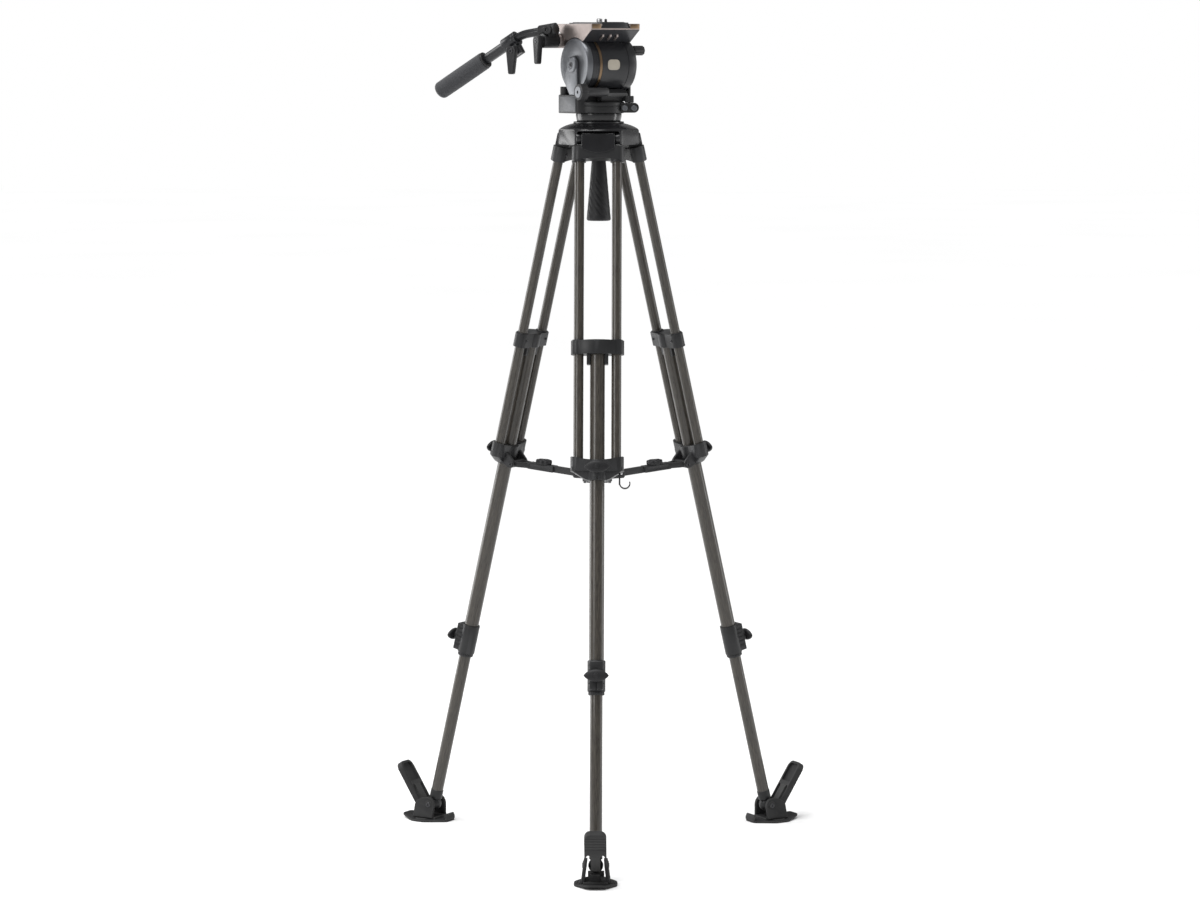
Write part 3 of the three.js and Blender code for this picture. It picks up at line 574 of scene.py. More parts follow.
# ---------------- crown
def crown():
    underside = arc(56.2, BALL_HEIGHT, -70.2, -48.2, 8)
    flange = rounded([(38, 1160), (64.5, 1160), (66, 1161.5), (66, 1183.5), (63, 1186.5), (55, 1190.6),
                      (46, 1193.4), (41.5, 1194.4), (39.6, 1196), (36.1, 1196)],
                     [0, 1, 1, 2, 2, 6, 5, 1.5, 0.4, 0.2], 6)
    seat = arc(BALL_RADIUS + 0.6, BALL_HEIGHT, -21.5, -59.8, 14)
    body = turned([*underside, *flange, *seat], 144)
    recesses, flats, bosses = [], [], []
    recess = rounded([(-35, 1150), (35, 1150), (35, 1182.7), (-35, 1182.7)], [0, 0, 5, 5])
    flat = rounded([(-60, 1150), (60, 1150), (60, 1185.5), (-60, 1185.5)], [0, 0, 5, 5])
    for azimuth in LEGS.values():
        turned_to = turn("Z", azimuth - 90)
        recesses.append(moved(prism(recess, 38, 90, "Y"), turned_to))
        flats.append(moved(prism(flat, -90, -60, "Y"), turned_to))
        for side in (-1, 1):
            boss = join(rod_x(side * 27.6, side * 35.5, HINGE_RADIUS, HINGE_HEIGHT, 9.5),
                        rod_x(side * 20, side * 37, HINGE_RADIUS, HINGE_HEIGHT, 4))
            bosses.append(moved(boss, turned_to))
    body = cut(join(cut(body, *recesses), *bosses), *flats)
    piece("crown_body", body, TRIPOD, "root", CROWN_FINISH, "crown", edge=0.7)
    bezel = turned(rounded([(38.1, 1194.8), (41.6, 1194.8), (41.2, 1197.4), (38.1, 1197.4)], 0.5), 120)
    piece("crown_seat_ring", bezel, TRIPOD, "root", SATIN)


# ---------------- leg castings
def pair_of_rods(low, high, radius):
    """One rod for each tube of a leg's pair: sleeves when they are joined, bores when they are cut."""
    return [rod_z(x, 0, low, high, radius) for _, x in TUBE_PAIR]


def top_fitting(side, place):
    band = cut(lozenge(LEG_WIDTH, 27, -39, -14), arched_below(39, 20, 43, 5.5))
    tongue = join(block((-27, -11.5, -26), (27, 11.5, 0)), rod_x(-27, 27, 0, 0, 11.5))
    body = join(bevelled(band, 1.4, 3), bevelled(tongue, 0.8), *pair_of_rods(-38.9, -30, 10.6))
    body = cut(body, rod_x(-28, 28, 0, 0, 4.3), *pair_of_rods(-42, -18.2, TUBE_BORE))
    piece(f"{side}_shoulder", body, place, f"{side}_leg", CASTING, f"{side}_leg_top_fitting", edge=0.35)
    plate = [(-26.8, 6), (26.8, 6), (26.8, -19), (14, -24.5), (0, -26.5), (-14, -24.5), (-26.8, -19)]
    cover = bevelled(prism(rounded(plate, 3), 10.5, 14.9, "Y"), 0.8, 3)
    piece(f"{side}_tongue_cover", cover, place, f"{side}_leg", GLOSS)
    for name, x in TUBE_PAIR:
        head = moved(cap_screw(2.3, 1.6), shift(x, -13.2, -26), turn("X", 90))
        piece(f"{side}_shoulder_screw_{name}", head, place, f"{side}_leg", SCREW)
    for name, x in TUBE_PAIR:
        tube = ring(8, 6.8, -UPPER_TUBE_END, -18.5, 0.3, 64)
        piece(f"{side}_outer_tube_{name}", tube, place @ shift(x, 0, 0), f"{side}_leg", CARBON,
              f"{side}_upper_tube_{name}")


def slider(side, place):
    body = f"{side}_mid_stage"
    bow_radius, bow_centre = 57.9, -38.9
    bow = arc(bow_radius, bow_centre, 45, 135, 18)
    band = bevelled(join(lozenge(LEG_WIDTH, 22, -356, -333), prism(bow, -356, -333)), 1.2, 3)
    lugs = [bevelled(block((11, -7, -372), (17.5, 7, -350)), 1.2, 3),
            bevelled(block((-17.5, -7, -372), (-11, 7, -350)), 1.2, 3)]
    shape = join(band, bevelled(rod_z(0, 0, -356, -333, 15.5), 0.8), *lugs)
    shape = cut(shape, *pair_of_rods(-375, -330, TUBE_BORE), rod_z(0, 0, -375, -341.2, MID_BORE))
    piece(f"{side}_slider_body", shape, place, body, CASTING, f"{side}_slider", edge=0.3)
    for name, x in TUBE_PAIR:
        wiper = ring(10.6, 8.35, -333.4, -331.6)
        piece(f"{side}_slider_wiper_{name}", wiper, place @ shift(x, 0, 0), body, PLASTIC)
        head = moved(cap_screw(2.3, 1.6), shift(x, -10.7, -344), turn("X", 90))
        piece(f"{side}_slider_screw_{name}", head, place, body, SCREW)
    tube = ring(12, 10.4, -868, -341.5, sides=72)
    piece(f"{side}_middle_tube", tube, place, body, CARBON, f"{side}_mid_tube")


def lower_bracket(side, place):
    body = f"{side}_leg"
    skirt = rounded([(-41, -545), (-17, -561), (17, -561), (41, -545), (41, -538), (-41, -538)],
                    [6, 8, 8, 6, 0, 0])
    dip_radius, dip_floor = 155.6, -527.5
    dip = moved(rod_y(0, -20, 20, 0, dip_radius, sides=240), shift(0, 0, dip_floor + dip_radius))
    band = cut(lozenge(LEG_WIDTH, 24, -546, -522), dip)
    parts = [prism(skirt, -9, 9, "Y"), rod_z(0, 0, -561, -528, 17)]
    knob_boss = rod_y(0, 10, 20, -BRACKET_KNOB, 8)
    ear = rounded([(-8, -534), (-8, -558), (-20, -562), (-27, -561), (-31, -555), (-28, -549)],
                  [0, 3, 4, 4, 4, 6])
    ears = []
    for low, high in ((-22.3, -17.3), (17.3, 22.3)):
        stub = (low + 1, 10.5) if low > 0 else (high - 1, -10.5)
        ears.append(bevelled(prism(ear, low, high, "X"), 0.8, 3))
        ears.append(rod_x(stub[0], stub[1], -LUG_INWARD, -LUG_DROP, 3))
    bores = pair_of_rods(-UPPER_TUBE_END - GAP, -515, TUBE_BORE)
    split = block((-0.8, 8, -562), (0.8, 19, -556))
    shape = join(bevelled(band, 1.6, 3), *[bevelled(p, 1.0, 3) for p in parts], knob_boss, *ears)
    shape = cut(shape, *bores, rod_z(0, 0, -562, -515, MID_BORE), split,
                rod_y(0, 12.6, 21, -BRACKET_KNOB, 3))
    piece(f"{side}_bracket_body", shape, place, body, CASTING, f"{side}_lower_bracket", edge=0.25)
    bolt_pair(f"{side}_lug_bolt", 3.6, 1.8, (22.1, -LUG_INWARD, -LUG_DROP), place, body)
    wing_knob(f"{side}_bracket", 20 + GAP, BRACKET_KNOB, place)


def collar(side, place):
    body = f"{side}_mid_stage"
    face = block((-11, 0, -898), (11, 21, -852))
    shape = join(bevelled(rod_z(0, 0, -900, -850, 14.5), 0.8), bevelled(face, 1.6, 3))
    shape = cut(shape, rod_z(0, 0, -868.3, -845, MID_BORE), rod_z(0, 0, -905, -845, 10.3),
                rod_y(0, 13, 22, -COLLAR_KNOB, 3), block((-0.6, 12.6, -898.5), (0.6, 22, -866)),
                *[block((-12, 3, -860 - 7 * i), (-10.4, 17, -857.6 - 7 * i)) for i in range(5)],
                *[block((10.4, 3, -860 - 7 * i), (12, 17, -857.6 - 7 * i)) for i in range(5)])
    piece(f"{side}_collar_body", shape, place, body, CASTING, f"{side}_collar", edge=0.3)
    nut = cut(knurled_knob(13.2, -905.5, -900.2, 20), rod_z(0, 0, -907, -899, 10.35))
    piece(f"{side}_collar_nut", nut, place, body, PLASTIC)
    wing_knob(f"{side}_collar", 21 + GAP, COLLAR_KNOB, place)
    outline = [(0, -1160), (8.4, -1160), (8.4, -620.3), (9.7, -620), (10, -620.4), (10, -1163.6),
               (9.5, -1165), (8.6, -1165.6), (8.6, -1172), (0, -1172)]
    tube = turned(outline, 64)
    piece(f"{side}_inner_tube", tube, place, f"{side}_lower_stage", CARBON, f"{side}_lower_tube")
    end = turned(rounded([(0, -1172), (7.6, -1172), (8.8, -1166), (10.7, -1165), (10.7, -1150),
                          (10.1, -1149.4), (0, -1149.4)], [0, 0.6, 0.6, 1, 1, 0.2, 0]), 64)
    stem = join(end, ball((0, 0, -BALL_DROP), 12))
    piece(f"{side}_foot_ball", stem, place, f"{side}_lower_stage", CASTING, f"{side}_lower_tube")


def foot(side):
    ball_out = HINGE_RADIUS + BALL_DROP * math.sin(math.radians(SPLAY))
    height = HINGE_HEIGHT - BALL_DROP * math.cos(math.radians(SPLAY))
    place = sector(side) @ shift(0, ball_out, height)
    sole = [(13, 57), (34.5, 25), (34.5, 1), (13, -33), (-13, -33), (-34.5, 1), (-34.5, 25), (-13, 57)]
    bridge = block((-20, -13, 3 - height), (20, 33, 7.5 - height))
    plate = upturned(bevelled(join(prism(rounded(sole, 5), -height, 3.6 - height), bridge), 1.2, 3))
    lip = prism(rounded([(-33, 8 - height), (-33, 3 - height), (-26, 3 - height), (-27.6, 13.4 - height),
                         (-30.6, 13.4 - height)], [1, 1, 0, 1.2, 1.2]), -13, 13, "X")
    ear = rounded([(-9, 6 - height), (30, 6 - height), (27, 4), (13, 12), (-5, 12), (-11, 2)],
                  [0, 0, 6, 6, 6, 5])
    ears = [flared(bevelled(prism(ear, low, low + 6, "X"), 1.2, 3), 12) for low in (12.8, -18.8)]
    post = bevelled(block((-8, 15, 6 - height), (8, 27, -9)), 1.5, 3)
    bosses = [bevelled(rod_x(way * 18, way * 20.6, 0, 0, 7.5), 0.8) for way in (-1, 1)]
    shape = join(plate, bevelled(lip, 0.7), *ears, post, *bosses, strap(), *tread(height))
    piece(f"{side}_foot_pad", shape, place, f"{side}_foot", RUBBER, f"{side}_foot")
    bolt_pair(f"{side}_foot_bolt", 4.2, 1, (20.6, 0, 0), place, f"{side}_foot")


def upturned(mesh):
    """The sole with its outer tip curling up off the ground."""
    for vertex in mesh.vertices:
        vertex.co.z += 5 * (max(0, vertex.co.y - 27) / 30) ** 2
    return mesh


def flared(mesh, top):
    """The mesh leaning away from the foot's middle plane, more towards the ground."""
    for vertex in mesh.vertices:
        vertex.co.x += math.copysign(0.13 * (top - vertex.co.z), vertex.co.x)
    return mesh


def tread(height):
    """Low ribs across the top of the pad, behind and beside the ears."""
    ribs = []
    for i in range(3):
        for side in (-1, 1):
            x = side * (21.5 + 4.2 * i)
            ribs.append(bevelled(block((x - 0.9, 0, 3 - height), (x + 0.9, 25 - 3 * i, 4.9 - height)), 0.4))
    return ribs


def strap():
    """The pull strap: a hollow-faced blade that leans outwards, with two slots below."""
    blade = rounded([(-17.5, 1), (17.5, 1), (17.5, 74), (12, 82), (-12, 82), (-17.5, 74)],
                    [3, 3, 8, 6, 6, 8])
    body = bevelled(prism(blade, -5.5, 5.5, "Y"), 1.5, 3)
    scoop = rounded([(-12.5, 44), (12.5, 44), (12.5, 74), (9, 77.5), (-9, 77.5), (-12.5, 74)], 3)
    scoop = bevelled(prism(scoop, -9, -1.6, "Y"), 1.0, 3)
    slots = []
    for way in (-1, 1):
        slot = [(way * 7.5, -3), (way * 15, -3), (way * 15, 34), (way * 11.2, 38), (way * 7.5, 34)]
        slots.append(prism(rounded(slot, [0, 0, 3, 3, 3]), -9, 9, "Y"))
    grooves = [rod_x(-20, 20, 6.6, z, 2.1, sides=20) for z in (50, 56, 62, 68, 74)]
    return moved(cut(body, scoop, *slots, *grooves), shift(0, 20, -3), turn("X", -33))


# ---------------- spreader
def spreader_arm(side):
    sin, cos = math.sin(math.radians(SPLAY)), math.cos(math.radians(SPLAY))
    radius = HINGE_RADIUS - LUG_INWARD * cos + LUG_DROP * sin
    height = HINGE_HEIGHT - LUG_INWARD * sin - LUG_DROP * cos
    rise, run = height - HUB_HEIGHT, radius - HUB_PIN_RADIUS
    place = sector(side) @ shift(0, radius, height) @ turn("X", math.degrees(math.atan2(rise, run)))
    length, body = math.hypot(rise, run), f"{side}_spreader_arm"
    web = rounded([(-16.9, -1), (16.9, -1), (16, -9), (8.5, -25), (8.5, -30), (-8.5, -30), (-8.5, -25),
                   (-16, -9)], [0, 0, 5, 6, 0, 0, 6, 5])
    fork = bevelled(prism(web, -4.5, 4.5), 0.9, 3)
    outer = bevelled(block((-8.5, -74, -5.5), (8.5, -24, 5.5)), 1.1, 3)
    inner = bevelled(block((-4, -length, -5.5), (4, -70, 5.5)), 0.8, 2)
    barrel = bevelled(rod_x(-16.9, 16.9, 0, 0, 6), 0.6)
    eye = bevelled(rod_x(-4, 4, -length, 0, 5.5), 0.5)
    window = prism(rounded([(-8, -7.5), (8, -7.5), (4, -20), (-4, -20)], 2.5), -6, 6)
    grooves = [block((x - 1.2, -70, -3), (x + 1.2, -28, 3)) for x in (-9, 9)]
    shape = cut(join(barrel, fork, outer, inner, eye), rod_x(-18, 18, 0, 0, 3.3),
                rod_x(-5, 5, -length, 0, 2.2), rod_z(0, -ARM_KNOB, 1, 6, 2.8), window,
                *grooves)
    piece(f"{side}_arm_body", shape, place, body, CASTING, f"{side}_spreader_arm", edge=0.2)
    knob = join(fluted_knob(13.5, 0, 7, 6, 0.14, 1.6), rod_z(0, 0, -4, 1, 2.4))
    at = place @ shift(0, -ARM_KNOB, 5.5 + GAP)
    piece(f"{side}_arm_dial", knob, at, f"{side}_arm_knob", KNOB, f"{side}_arm_knob")
    cap = moved(cap_screw(5.4, 1.2), shift(0, 0, 6.2))
    piece(f"{side}_arm_dial_cap", cap, at, f"{side}_arm_knob", SCREW)
    pin = moved(rod_x(-9.7, 9.7, 0, 0, 1.9, sides=32), shift(0, -length, 0))
    piece(f"{side}_hub_pin", bevelled(pin, 0.3), place, body, STEEL)


def hub():
    place = TRIPOD @ shift(0, 0, HUB_HEIGHT)
    disc = turned(rounded([(0, -7.5), (17.5, -7.5), (18.5, -6.5), (18.5, -3), (7, -3), (5.5, -2.5),
                           (0, -2.5)], [0, 0.8, 0.8, 0.6, 0.5, 0.4, 0]), 72)
    cheek = rounded([(11, -7.5), (43, -7.5), (45, -5), (45, 4), (42, 7), (33, 7), (18, -2), (11, -3)],
                    [0, 2, 2, 3, 3, 5, 6, 0])
    plates = []
    for azimuth in LEGS.values():
        for low in (-9, 5):
            pin_hole = rod_x(low - 1, low + 5, HUB_PIN_RADIUS, 0, 2.15)
            plate = cut(bevelled(prism(cheek, low, low + 4, "X"), 0.6), pin_hole)
            plates.append(moved(plate, turn("Z", azimuth - 90)))
    shape = join(disc, *plates)
    piece("hub_body", shape, place, "spreader_hub", CASTING, "spreader_hub", edge=0.2)


# ---------------- levelling ball and handle
def half_ball():
    bowl = arc(BALL_RADIUS, BALL_HEIGHT, -58.5, -4, 22)
    rim = rounded([(BALL_RADIUS, 1207), (BALL_RADIUS, 1210.7), (BALL_RADIUS - 1, 1210.7)], 0.3)
    outline = [(0, 1130), (4.6, 1130), (5, 1130.4), (5, 1177), *bowl, *rim, (0, 1210.7)]
    piece("ball_neck", turned(outline, 120), HEAD, "level_ball", GLOSS, "half_ball", slot="satin_black")


def tie_down():
    flutes_low, flutes_high = 1041, 1110

    def wave(angle, height, _):
        if not flutes_low < height < flutes_high:
            return 0
        fade = min(1, (height - flutes_low) / 7, (flutes_high - height) / 7)
        groove = 0.5 + 0.5 * math.cos(13 * (angle + 0.04 * (height - 1040)))
        return -0.9 * fade * groove ** 4

    sides = [(20 - 9 * (z - 1037) / 103, z) for z in range(1038, 1140, 2)]
    dish = arc(56.6, BALL_HEIGHT, -67.2, -84.2, 8)
    outline = [(0, 1035), (17.4, 1035), (19.2, 1036), *sides, (9.6, 1141.6), (9.5, 1146), (11, 1148.6),
               *rounded([(20.5, 1150.4), (22, 1151.6), (22, 1156.4)], 0.6), *dish, (5.5, 1127), (0, 1127)]
    piece("bowl_handle", turned(outline, 144, wave), HEAD, "tie_down_handle", KNOB, "tie_down_handle",
          slot="black_rubber")


# ---------------- pan base
def pan_base():
    square = turn("Z", -HEAD_TURN)
    rim = rounded([(0, BASE_LOW), (40.6, BASE_LOW), (42, BASE_LOW + 1.4), (42, 1221.6), (41.2, 1222.2),
                   (41.2, 1223.4), (42, 1224), (42, 1228.4), (40.6, BASE_ROUND), (0, BASE_ROUND)],
                  [0, 1, 1, 0.2, 0.2, 0.2, 0.2, 1, 1, 0])
    footprint = rounded([(14, -45), (52, -45), (52, 17), (14, 17)], [2, 7, 7, 2], 8)
    housing = bevelled(prism(footprint, BASE_LOW, BASE_HIGH), 1.4, 3)
    end = join(block((30, -20.5, 1212), (58, -5.5, 1228)), rod_y(58, -20.5, -5.5, 1220, 8))
    lug = moved(bevelled(end, 1.4, 3), square)
    lock_screws = (("a", 43, 6, 3.2), ("b", 58, 5.5, 3))
    lock_face, lock_height = -24.2, 1219.5
    sockets = [moved(rod_y(x, lock_face, -18, lock_height, radius), square)
               for _, x, radius, _ in lock_screws]
    well = Matrix.Rotation(math.radians(-HEAD_TURN), 3, "Z") @ Vector((50, -13, 0))
    body = join(turned(rim, 144), housing, lug, *[bevelled(s, 0.8, 2) for s in sockets])
    seam = block((51.4, -60, 1225.4), (60, 25, 1226.2))
    body = cut(body, rod_z(well.x, well.y, 1222, 1230, 3), seam,
               *[moved(rod_y(x, -26, -21.6, lock_height, radius, sides=6), square)
                 for _, x, _, radius in lock_screws])
    piece("base_housing", body, HEAD, "pan_body", CASTING, "pan_base", edge=0.2)
    for name, x, *_ in lock_screws:
        face = moved(cap_screw(4.7, 1.0), square, shift(x, lock_face, lock_height), turn("X", 90))
        piece(f"pan_lock_screw_{name}", face, HEAD, "pan_body", GREY_CAP, slot="steel")
    plate = prism(rounded([(-40, 1213.5), (12, 1213.5), (12, 1238.5), (-40, 1238.5)], 2.5), 51.6, 52.5, "X")
    piece("base_side_plate", plate, HEAD, "pan_body", BRUSHED_BLACK, edge=0.3)
    knob = join(fluted_knob(7.5, 0, 11, 8, 0.12, 1.2), rod_z(0, 0, -5, 1, 2.6))
    place = HEAD @ shift(well.x, well.y, 1228 + GAP)
    piece("pan_lock_dial", knob, place, "pan_lock", KNOB, "pan_lock_knob")
    level = HEAD @ shift(43, -36.5, BASE_HIGH)
    cup = turned(rounded([(0, -1), (7.2, -1), (7.2, 12.4), (6.4, 13.2), (5.4, 13.2), (5.4, 11.4),
                          (0, 11.4)], 0.4), 64)
    piece("level_cup", cup, level, "pan_body", PLASTIC)
    vial = turned([(0, 10.8), (5.2, 10.8), (5.2, 11.8), (3.4, 12.7), (0, 13.0)], 48)
    piece("level_vial", vial, level, "pan_body", VIAL)


# ---------------- yoke, drum and cap
def yoke():
    high, low, top = BASE_HIGH + GAP, BASE_ROUND + GAP, 1250
    wedge = rounded([(-42, low), (13.7, low), (13.7, high), (40, high), (38, top), (-34, top)],
                    [1, 0, 0, 1, 2, 3])
    chamfer = [(24, 1251), (31, 1251), (31, 1244), (30, 1244), (25, top)]
    chamfers = [prism([(side * y, z) for y, z in chamfer], -50, 50, "X") for side in (-1, 1)]
    foot_block = cut(bevelled(prism(wedge, -30, 30, "Y"), 0.8), *chamfers,
                     rod_x(-50, 50, 0, TILT_HEIGHT, 44.7, sides=96))
    parts = [bevelled(block((30, -9, high), (49, 13.4, high + 3.2)), 0.6),
             bevelled(block((-52.3, -9, low), (-34, 13.4, low + 6)), 0.6),
             bevelled(rod_x(10, 52.3, DRAG_Y, DRAG_Z, 7), 0.8),
             bevelled(block((12, 26, high), (34, DRAG_Y, high + 6)), 0.8),
             yoke_arm(-52.3, -48.3, low), rod_x(-49.3, -41, 0, TILT_HEIGHT, 7)]
    shape = cut(join(foot_block, *parts), rod_x(44, 53, DRAG_Y, DRAG_Z, 3))
    piece("yoke_body", shape, HEAD, "pan_body", CASTING, "yoke", edge=0.3)
    arm = join(yoke_arm(48.3, 52.3, high), rod_x(49.3, 33, 0, TILT_HEIGHT, 7))
    piece("yoke_grey_arm", arm, HEAD, "pan_body", GREY_CAP, "yoke")
    cover = turned(rounded([(0, 0), (12.9, 0), (12.9, 1.2), (11.4, 2.6), (6.4, 2.6), (5.8, 2.1), (0, 2.1)],
                           0.4), 96)
    cover = moved(cover, shift(52.1, 0, TILT_HEIGHT), turn("Y", 90))
    piece("axle_cover", cover, HEAD, "pan_body", GREY_CAP)
    head = moved(cap_screw(4, 1.2), shift(53.8, 0, TILT_HEIGHT), turn("Y", 90))
    piece("axle_screw", head, HEAD, "pan_body", SCREW)


def yoke_arm(low, high, floor):
    """A flat upright: narrow at its foot, as wide as its round boss at the tilt axis."""
    outline = rounded([(16, floor), (16, 1262), (13.5, TILT_HEIGHT), (-13.5, TILT_HEIGHT), (-24, 1262),
                       (-7, floor)], [0, 8, 0, 0, 10, 0])
    return join(bevelled(prism(outline, low, high, "X"), 0.6),
                bevelled(rod_x(low, high, 0, TILT_HEIGHT, 13.5), 0.6))


def drum():
    """The tilt drum's rings, from the plain end at the right to the grey cap."""
    sections = [(-47, 41.8), (-46.4, 42.7), (-45.4, 43.1), (-31.6, 43.4), (-31.3, 42.7), (-30.7, 42.7),
                (-30.4, 43.4), (19.6, 43.4), (20, 41.8), (24.4, 41.8), (24.8, 42.6), (28, 42.2),
                (28.6, 42.9), (37.4, 42.9), (38, 42.3)]
    outline = [(36, -42), (7.3, -42), (7.3, -47), *[(r, x) for x, r in sections], (36, 38)]
    place = [shift(0, 0, TILT_HEIGHT), turn("Y", 90)]
    shell = cut(moved(turned(outline, 192), *place), rod_x(-48, -43, TILT_LOCK_Y, TILT_LOCK_Z, 3))
    piece("drum_shell", shell, HEAD, "tilt_body", SATIN, "tilt_drum")
    band = turned([(41.5, 20.1), (43.4, 20.2), (42.7, 24.2), (41.5, 24.3)], 192)
    piece("drum_bronze_ring", moved(band, *place), HEAD, "tilt_body", BRONZE)
    cap = [(7.3, 38.3), (43.4, 38.3), (44, 38.9), (44, 43.4), (43.3, 44.4), (42.6, 46.9), (41.2, 48),
           (16, 48), (15.2, 47.4), (7.3, 47.4)]
    piece("drum_end_cap", moved(turned(cap, 192), *place), HEAD, "tilt_body", GREY_CAP, "drum_cap")
    slab = prism(rounded([(-11.5, -8.5), (11.5, -8.5), (11.5, 8.5), (-11.5, 8.5)], 7.5, 8), 38, 50, "Y")
    skin = cut(rod_x(-30, 30, 0, 0, 44.0, sides=192), rod_x(-31, 31, 0, 0, 43.2, sides=192))
    plate = moved(common(skin, slab), shift(-1.5, 0, TILT_HEIGHT))
    piece("drum_badge", plate, HEAD, "tilt_body", BADGE)


# ---------------- platform and plate
def platform():
    rear, front, band = -52, 51.4, 1347
    outline = rounded([(rear, band), (-29, 1331), (22.8, 1327), (front, band), (front, PLATFORM_TOP),
                       (rear, PLATFORM_TOP)], [2, 6, 2, 2, 1, 1])
    channel = [(28.1, 1349), (28.1, 1351.2), (26.1, 1353.4), (26.1, 1359)]
    slot_outline = channel + [(-x, z) for x, z in reversed(channel)]
    body = join(bevelled(prism(outline, -46.7, 46.7, "X"), 0.9, 3),
                bevelled(rod_x(26, 50.3, ROSETTE_Y, ROSETTE_Z, 12), 0.8),
                bevelled(block((26, ROSETTE_Y - 3, ROSETTE_Z), (44, ROSETTE_Y + 14, 1340)), 0.8))
    body = cut(body, prism(slot_outline, rear - 1, front + 1, "Y"),
               rod_x(-48, 48, 0, TILT_HEIGHT, 44.4, sides=144),
               rod_x(-48, -40, PLATE_LOCK_Y, PLATE_LOCK_Z, 3),
               rod_x(42, 51, ROSETTE_Y, ROSETTE_Z, 3.4))
    piece("platform_body", body, HEAD, "tilt_body", CHAMPAGNE, "platform", edge=0.25)
    # A thin dark satin sheet laid over the champagne platform's sloping underside: painted shade, not a
    # separate black part.
    skin = prism([(23.4, 1326.8), (50.9, 1346.0), (50.6, 1346.4), (23.2, 1327.2)], -46.4, 46.4, "X")
    piece("platform_slope_shade_sheet", skin, HEAD, "tilt_body", SATIN, slot="black_plastic")
    for number, x in enumerate((17, 2.5, -10.5)):
        fin = prism([(29, 1331), (40.5, 1339.6), (40, 1335.2), (31, 1329.4)], x - 1.7, x + 1.7, "X")
        piece(f"platform_fin_{number}", bevelled(fin, 0.3), HEAD, "tilt_body", CHAMPAGNE)
    for name, low, high in (("a", -45.4, -28.6), ("b", 28.6, 45.4)):
        bar = block((low, front - 0.6, 1348.4), (high, front + 0.5, 1355.6))
        piece(f"platform_front_band_{name}", bevelled(bar, 0.35), HEAD, "tilt_body", BRONZE)
    face = turned(rounded([(3.5, 0), (11.4, 0), (11.4, 0.35), (3.5, 0.35)], 0.1), 72)
    face = moved(face, shift(50.1, ROSETTE_Y, ROSETTE_Z), turn("Y", 90))
    piece("rosette_face", face, HEAD, "tilt_body", STEEL)


def camera_plate():
    half, long_half, top, dovetail, low = 25.6, 50, 1358.4, 27.6, SLOT_FLOOR + GAP
    section = [(-dovetail, low), (dovetail, low), (dovetail, low + 2), (half, 1353.4), (half, top),
               (-half, top), (-half, 1353.4), (-dovetail, low + 2)]
    body = bevelled(prism(section, -long_half, long_half, "Y"), 0.5)
    body = join(body, rod_z(0, 21, top - 1, top + 5.4, 2.2), ball((0, 21, top + 5.0), 1.15))
    slot_cut = prism(rounded([(-4.2, -26), (4.2, -26), (4.2, -14), (-4.2, -14)], 4.1, 8), top - 2, top + 1)
    body = cut(body, rod_z(0, 2, low - 1, top + 1, 5.1), slot_cut)
    piece("sliding_plate", body, HEAD, "camera_plate", SATIN, "camera_plate")
    for name, low_y, high_y in (("a", -46, -30), ("b", 30, 46)):
        pads = [bevelled(block((-21, y, top - 0.5), (21, y + 2.4, top + 0.9)), 0.4)
                for y in range(low_y, high_y, 4)]
        sheet = bevelled(block((-22, low_y, top - 0.6), (22, high_y, top + 0.3)), 0.2)
        piece(f"plate_grip_{name}", join(sheet, *pads), HEAD, "camera_plate", RUBBER)

    def thread(_, height, reach):
        return 0.25 * math.sin(height * 5.2) if reach > 3 and height > top else 0

    threaded = [(4.7, top + 0.2 * i) for i in range(1, 28)]
    screw = turned([(0, SLOT_FLOOR + 1), (4.7, SLOT_FLOOR + 1), *threaded, (4.1, 1364.4), (3.6, 1365),
                    (0, 1365)], 48, thread)
    piece("plate_screw", screw, HEAD @ shift(0, 2, 0), "camera_screw", STEEL, "camera_screw")
    blade = rounded([(-17, 1347.5), (9, 1347.5), (16, 1349.6), (16, 1353.4), (9, 1355.5), (-17, 1355.5)],
                    [3.5, 4, 2, 2, 4, 3.5])
    lever = join(rod_x(-47, -51, PLATE_LOCK_Y, PLATE_LOCK_Z, 5),
                 bevelled(prism(blade, -55, -50.5, "X"), 1.0, 3),
                 rod_x(-48, -41, PLATE_LOCK_Y, PLATE_LOCK_Z, 2.6))
    piece("plate_lever", lever, HEAD, "plate_lock", KNOB, "plate_lock_lever")


def head_knobs():
    drag = HEAD @ shift(52.3 + GAP, DRAG_Y, DRAG_Z) @ turn("Y", 90)
    grip = join(knurled_knob(13.5, 0, 13.4, 36), rod_z(0, 0, -7, 1, 2.6))
    piece("drag_dial", grip, drag, "drag_knob", KNOB, "drag_knob")
    face = cut(turned(rounded([(0, 12.8), (9.4, 12.8), (9.4, 13.9), (8.8, 14.4), (0, 14.4)], 0.3), 72),
               rod_z(0, 0, 13, 16, 3, sides=6))
    piece("drag_dial_face", face, drag, "drag_knob", GREY_CAP, slot="steel")
    lock = HEAD @ shift(-47 - GAP, TILT_LOCK_Y, TILT_LOCK_Z) @ turn("Y", -90)
    handle = join(rod_z(0, 0, 0, 12, 5.5), fluted_knob(8, 11, 31, 8, 0.12, 1.6),
                  rod_z(0, 0, -3.4, 1, 2.6))
    piece("tilt_lock_dial", handle, lock, "tilt_lock", KNOB, "tilt_lock_knob")


# ---------------- pan bar
def bar_point(along, across, up):
    heading = math.radians(BAR_HEADING)
    x, y, z = BAR_ROOT
    return (x - along * math.sin(heading) - across * math.cos(heading),
            y + along * math.cos(heading) - across * math.sin(heading), z + up)


def swept_rod(points, radius):
    """A round bar through the points, with flat ends."""
    circle = [Vector((x, y, 0)) for x, y in arc(radius, 0, 0, 360, 40)[:-1]]
    sections = []
    for i, point in enumerate(points):
        ahead = points[min(i + 1, len(points) - 1)] - points[max(i - 1, 0)]
        facing = ahead.to_track_quat("Z", "X").to_matrix()
        sections.append([point + facing @ spot for spot in circle])
    return skinned(sections)


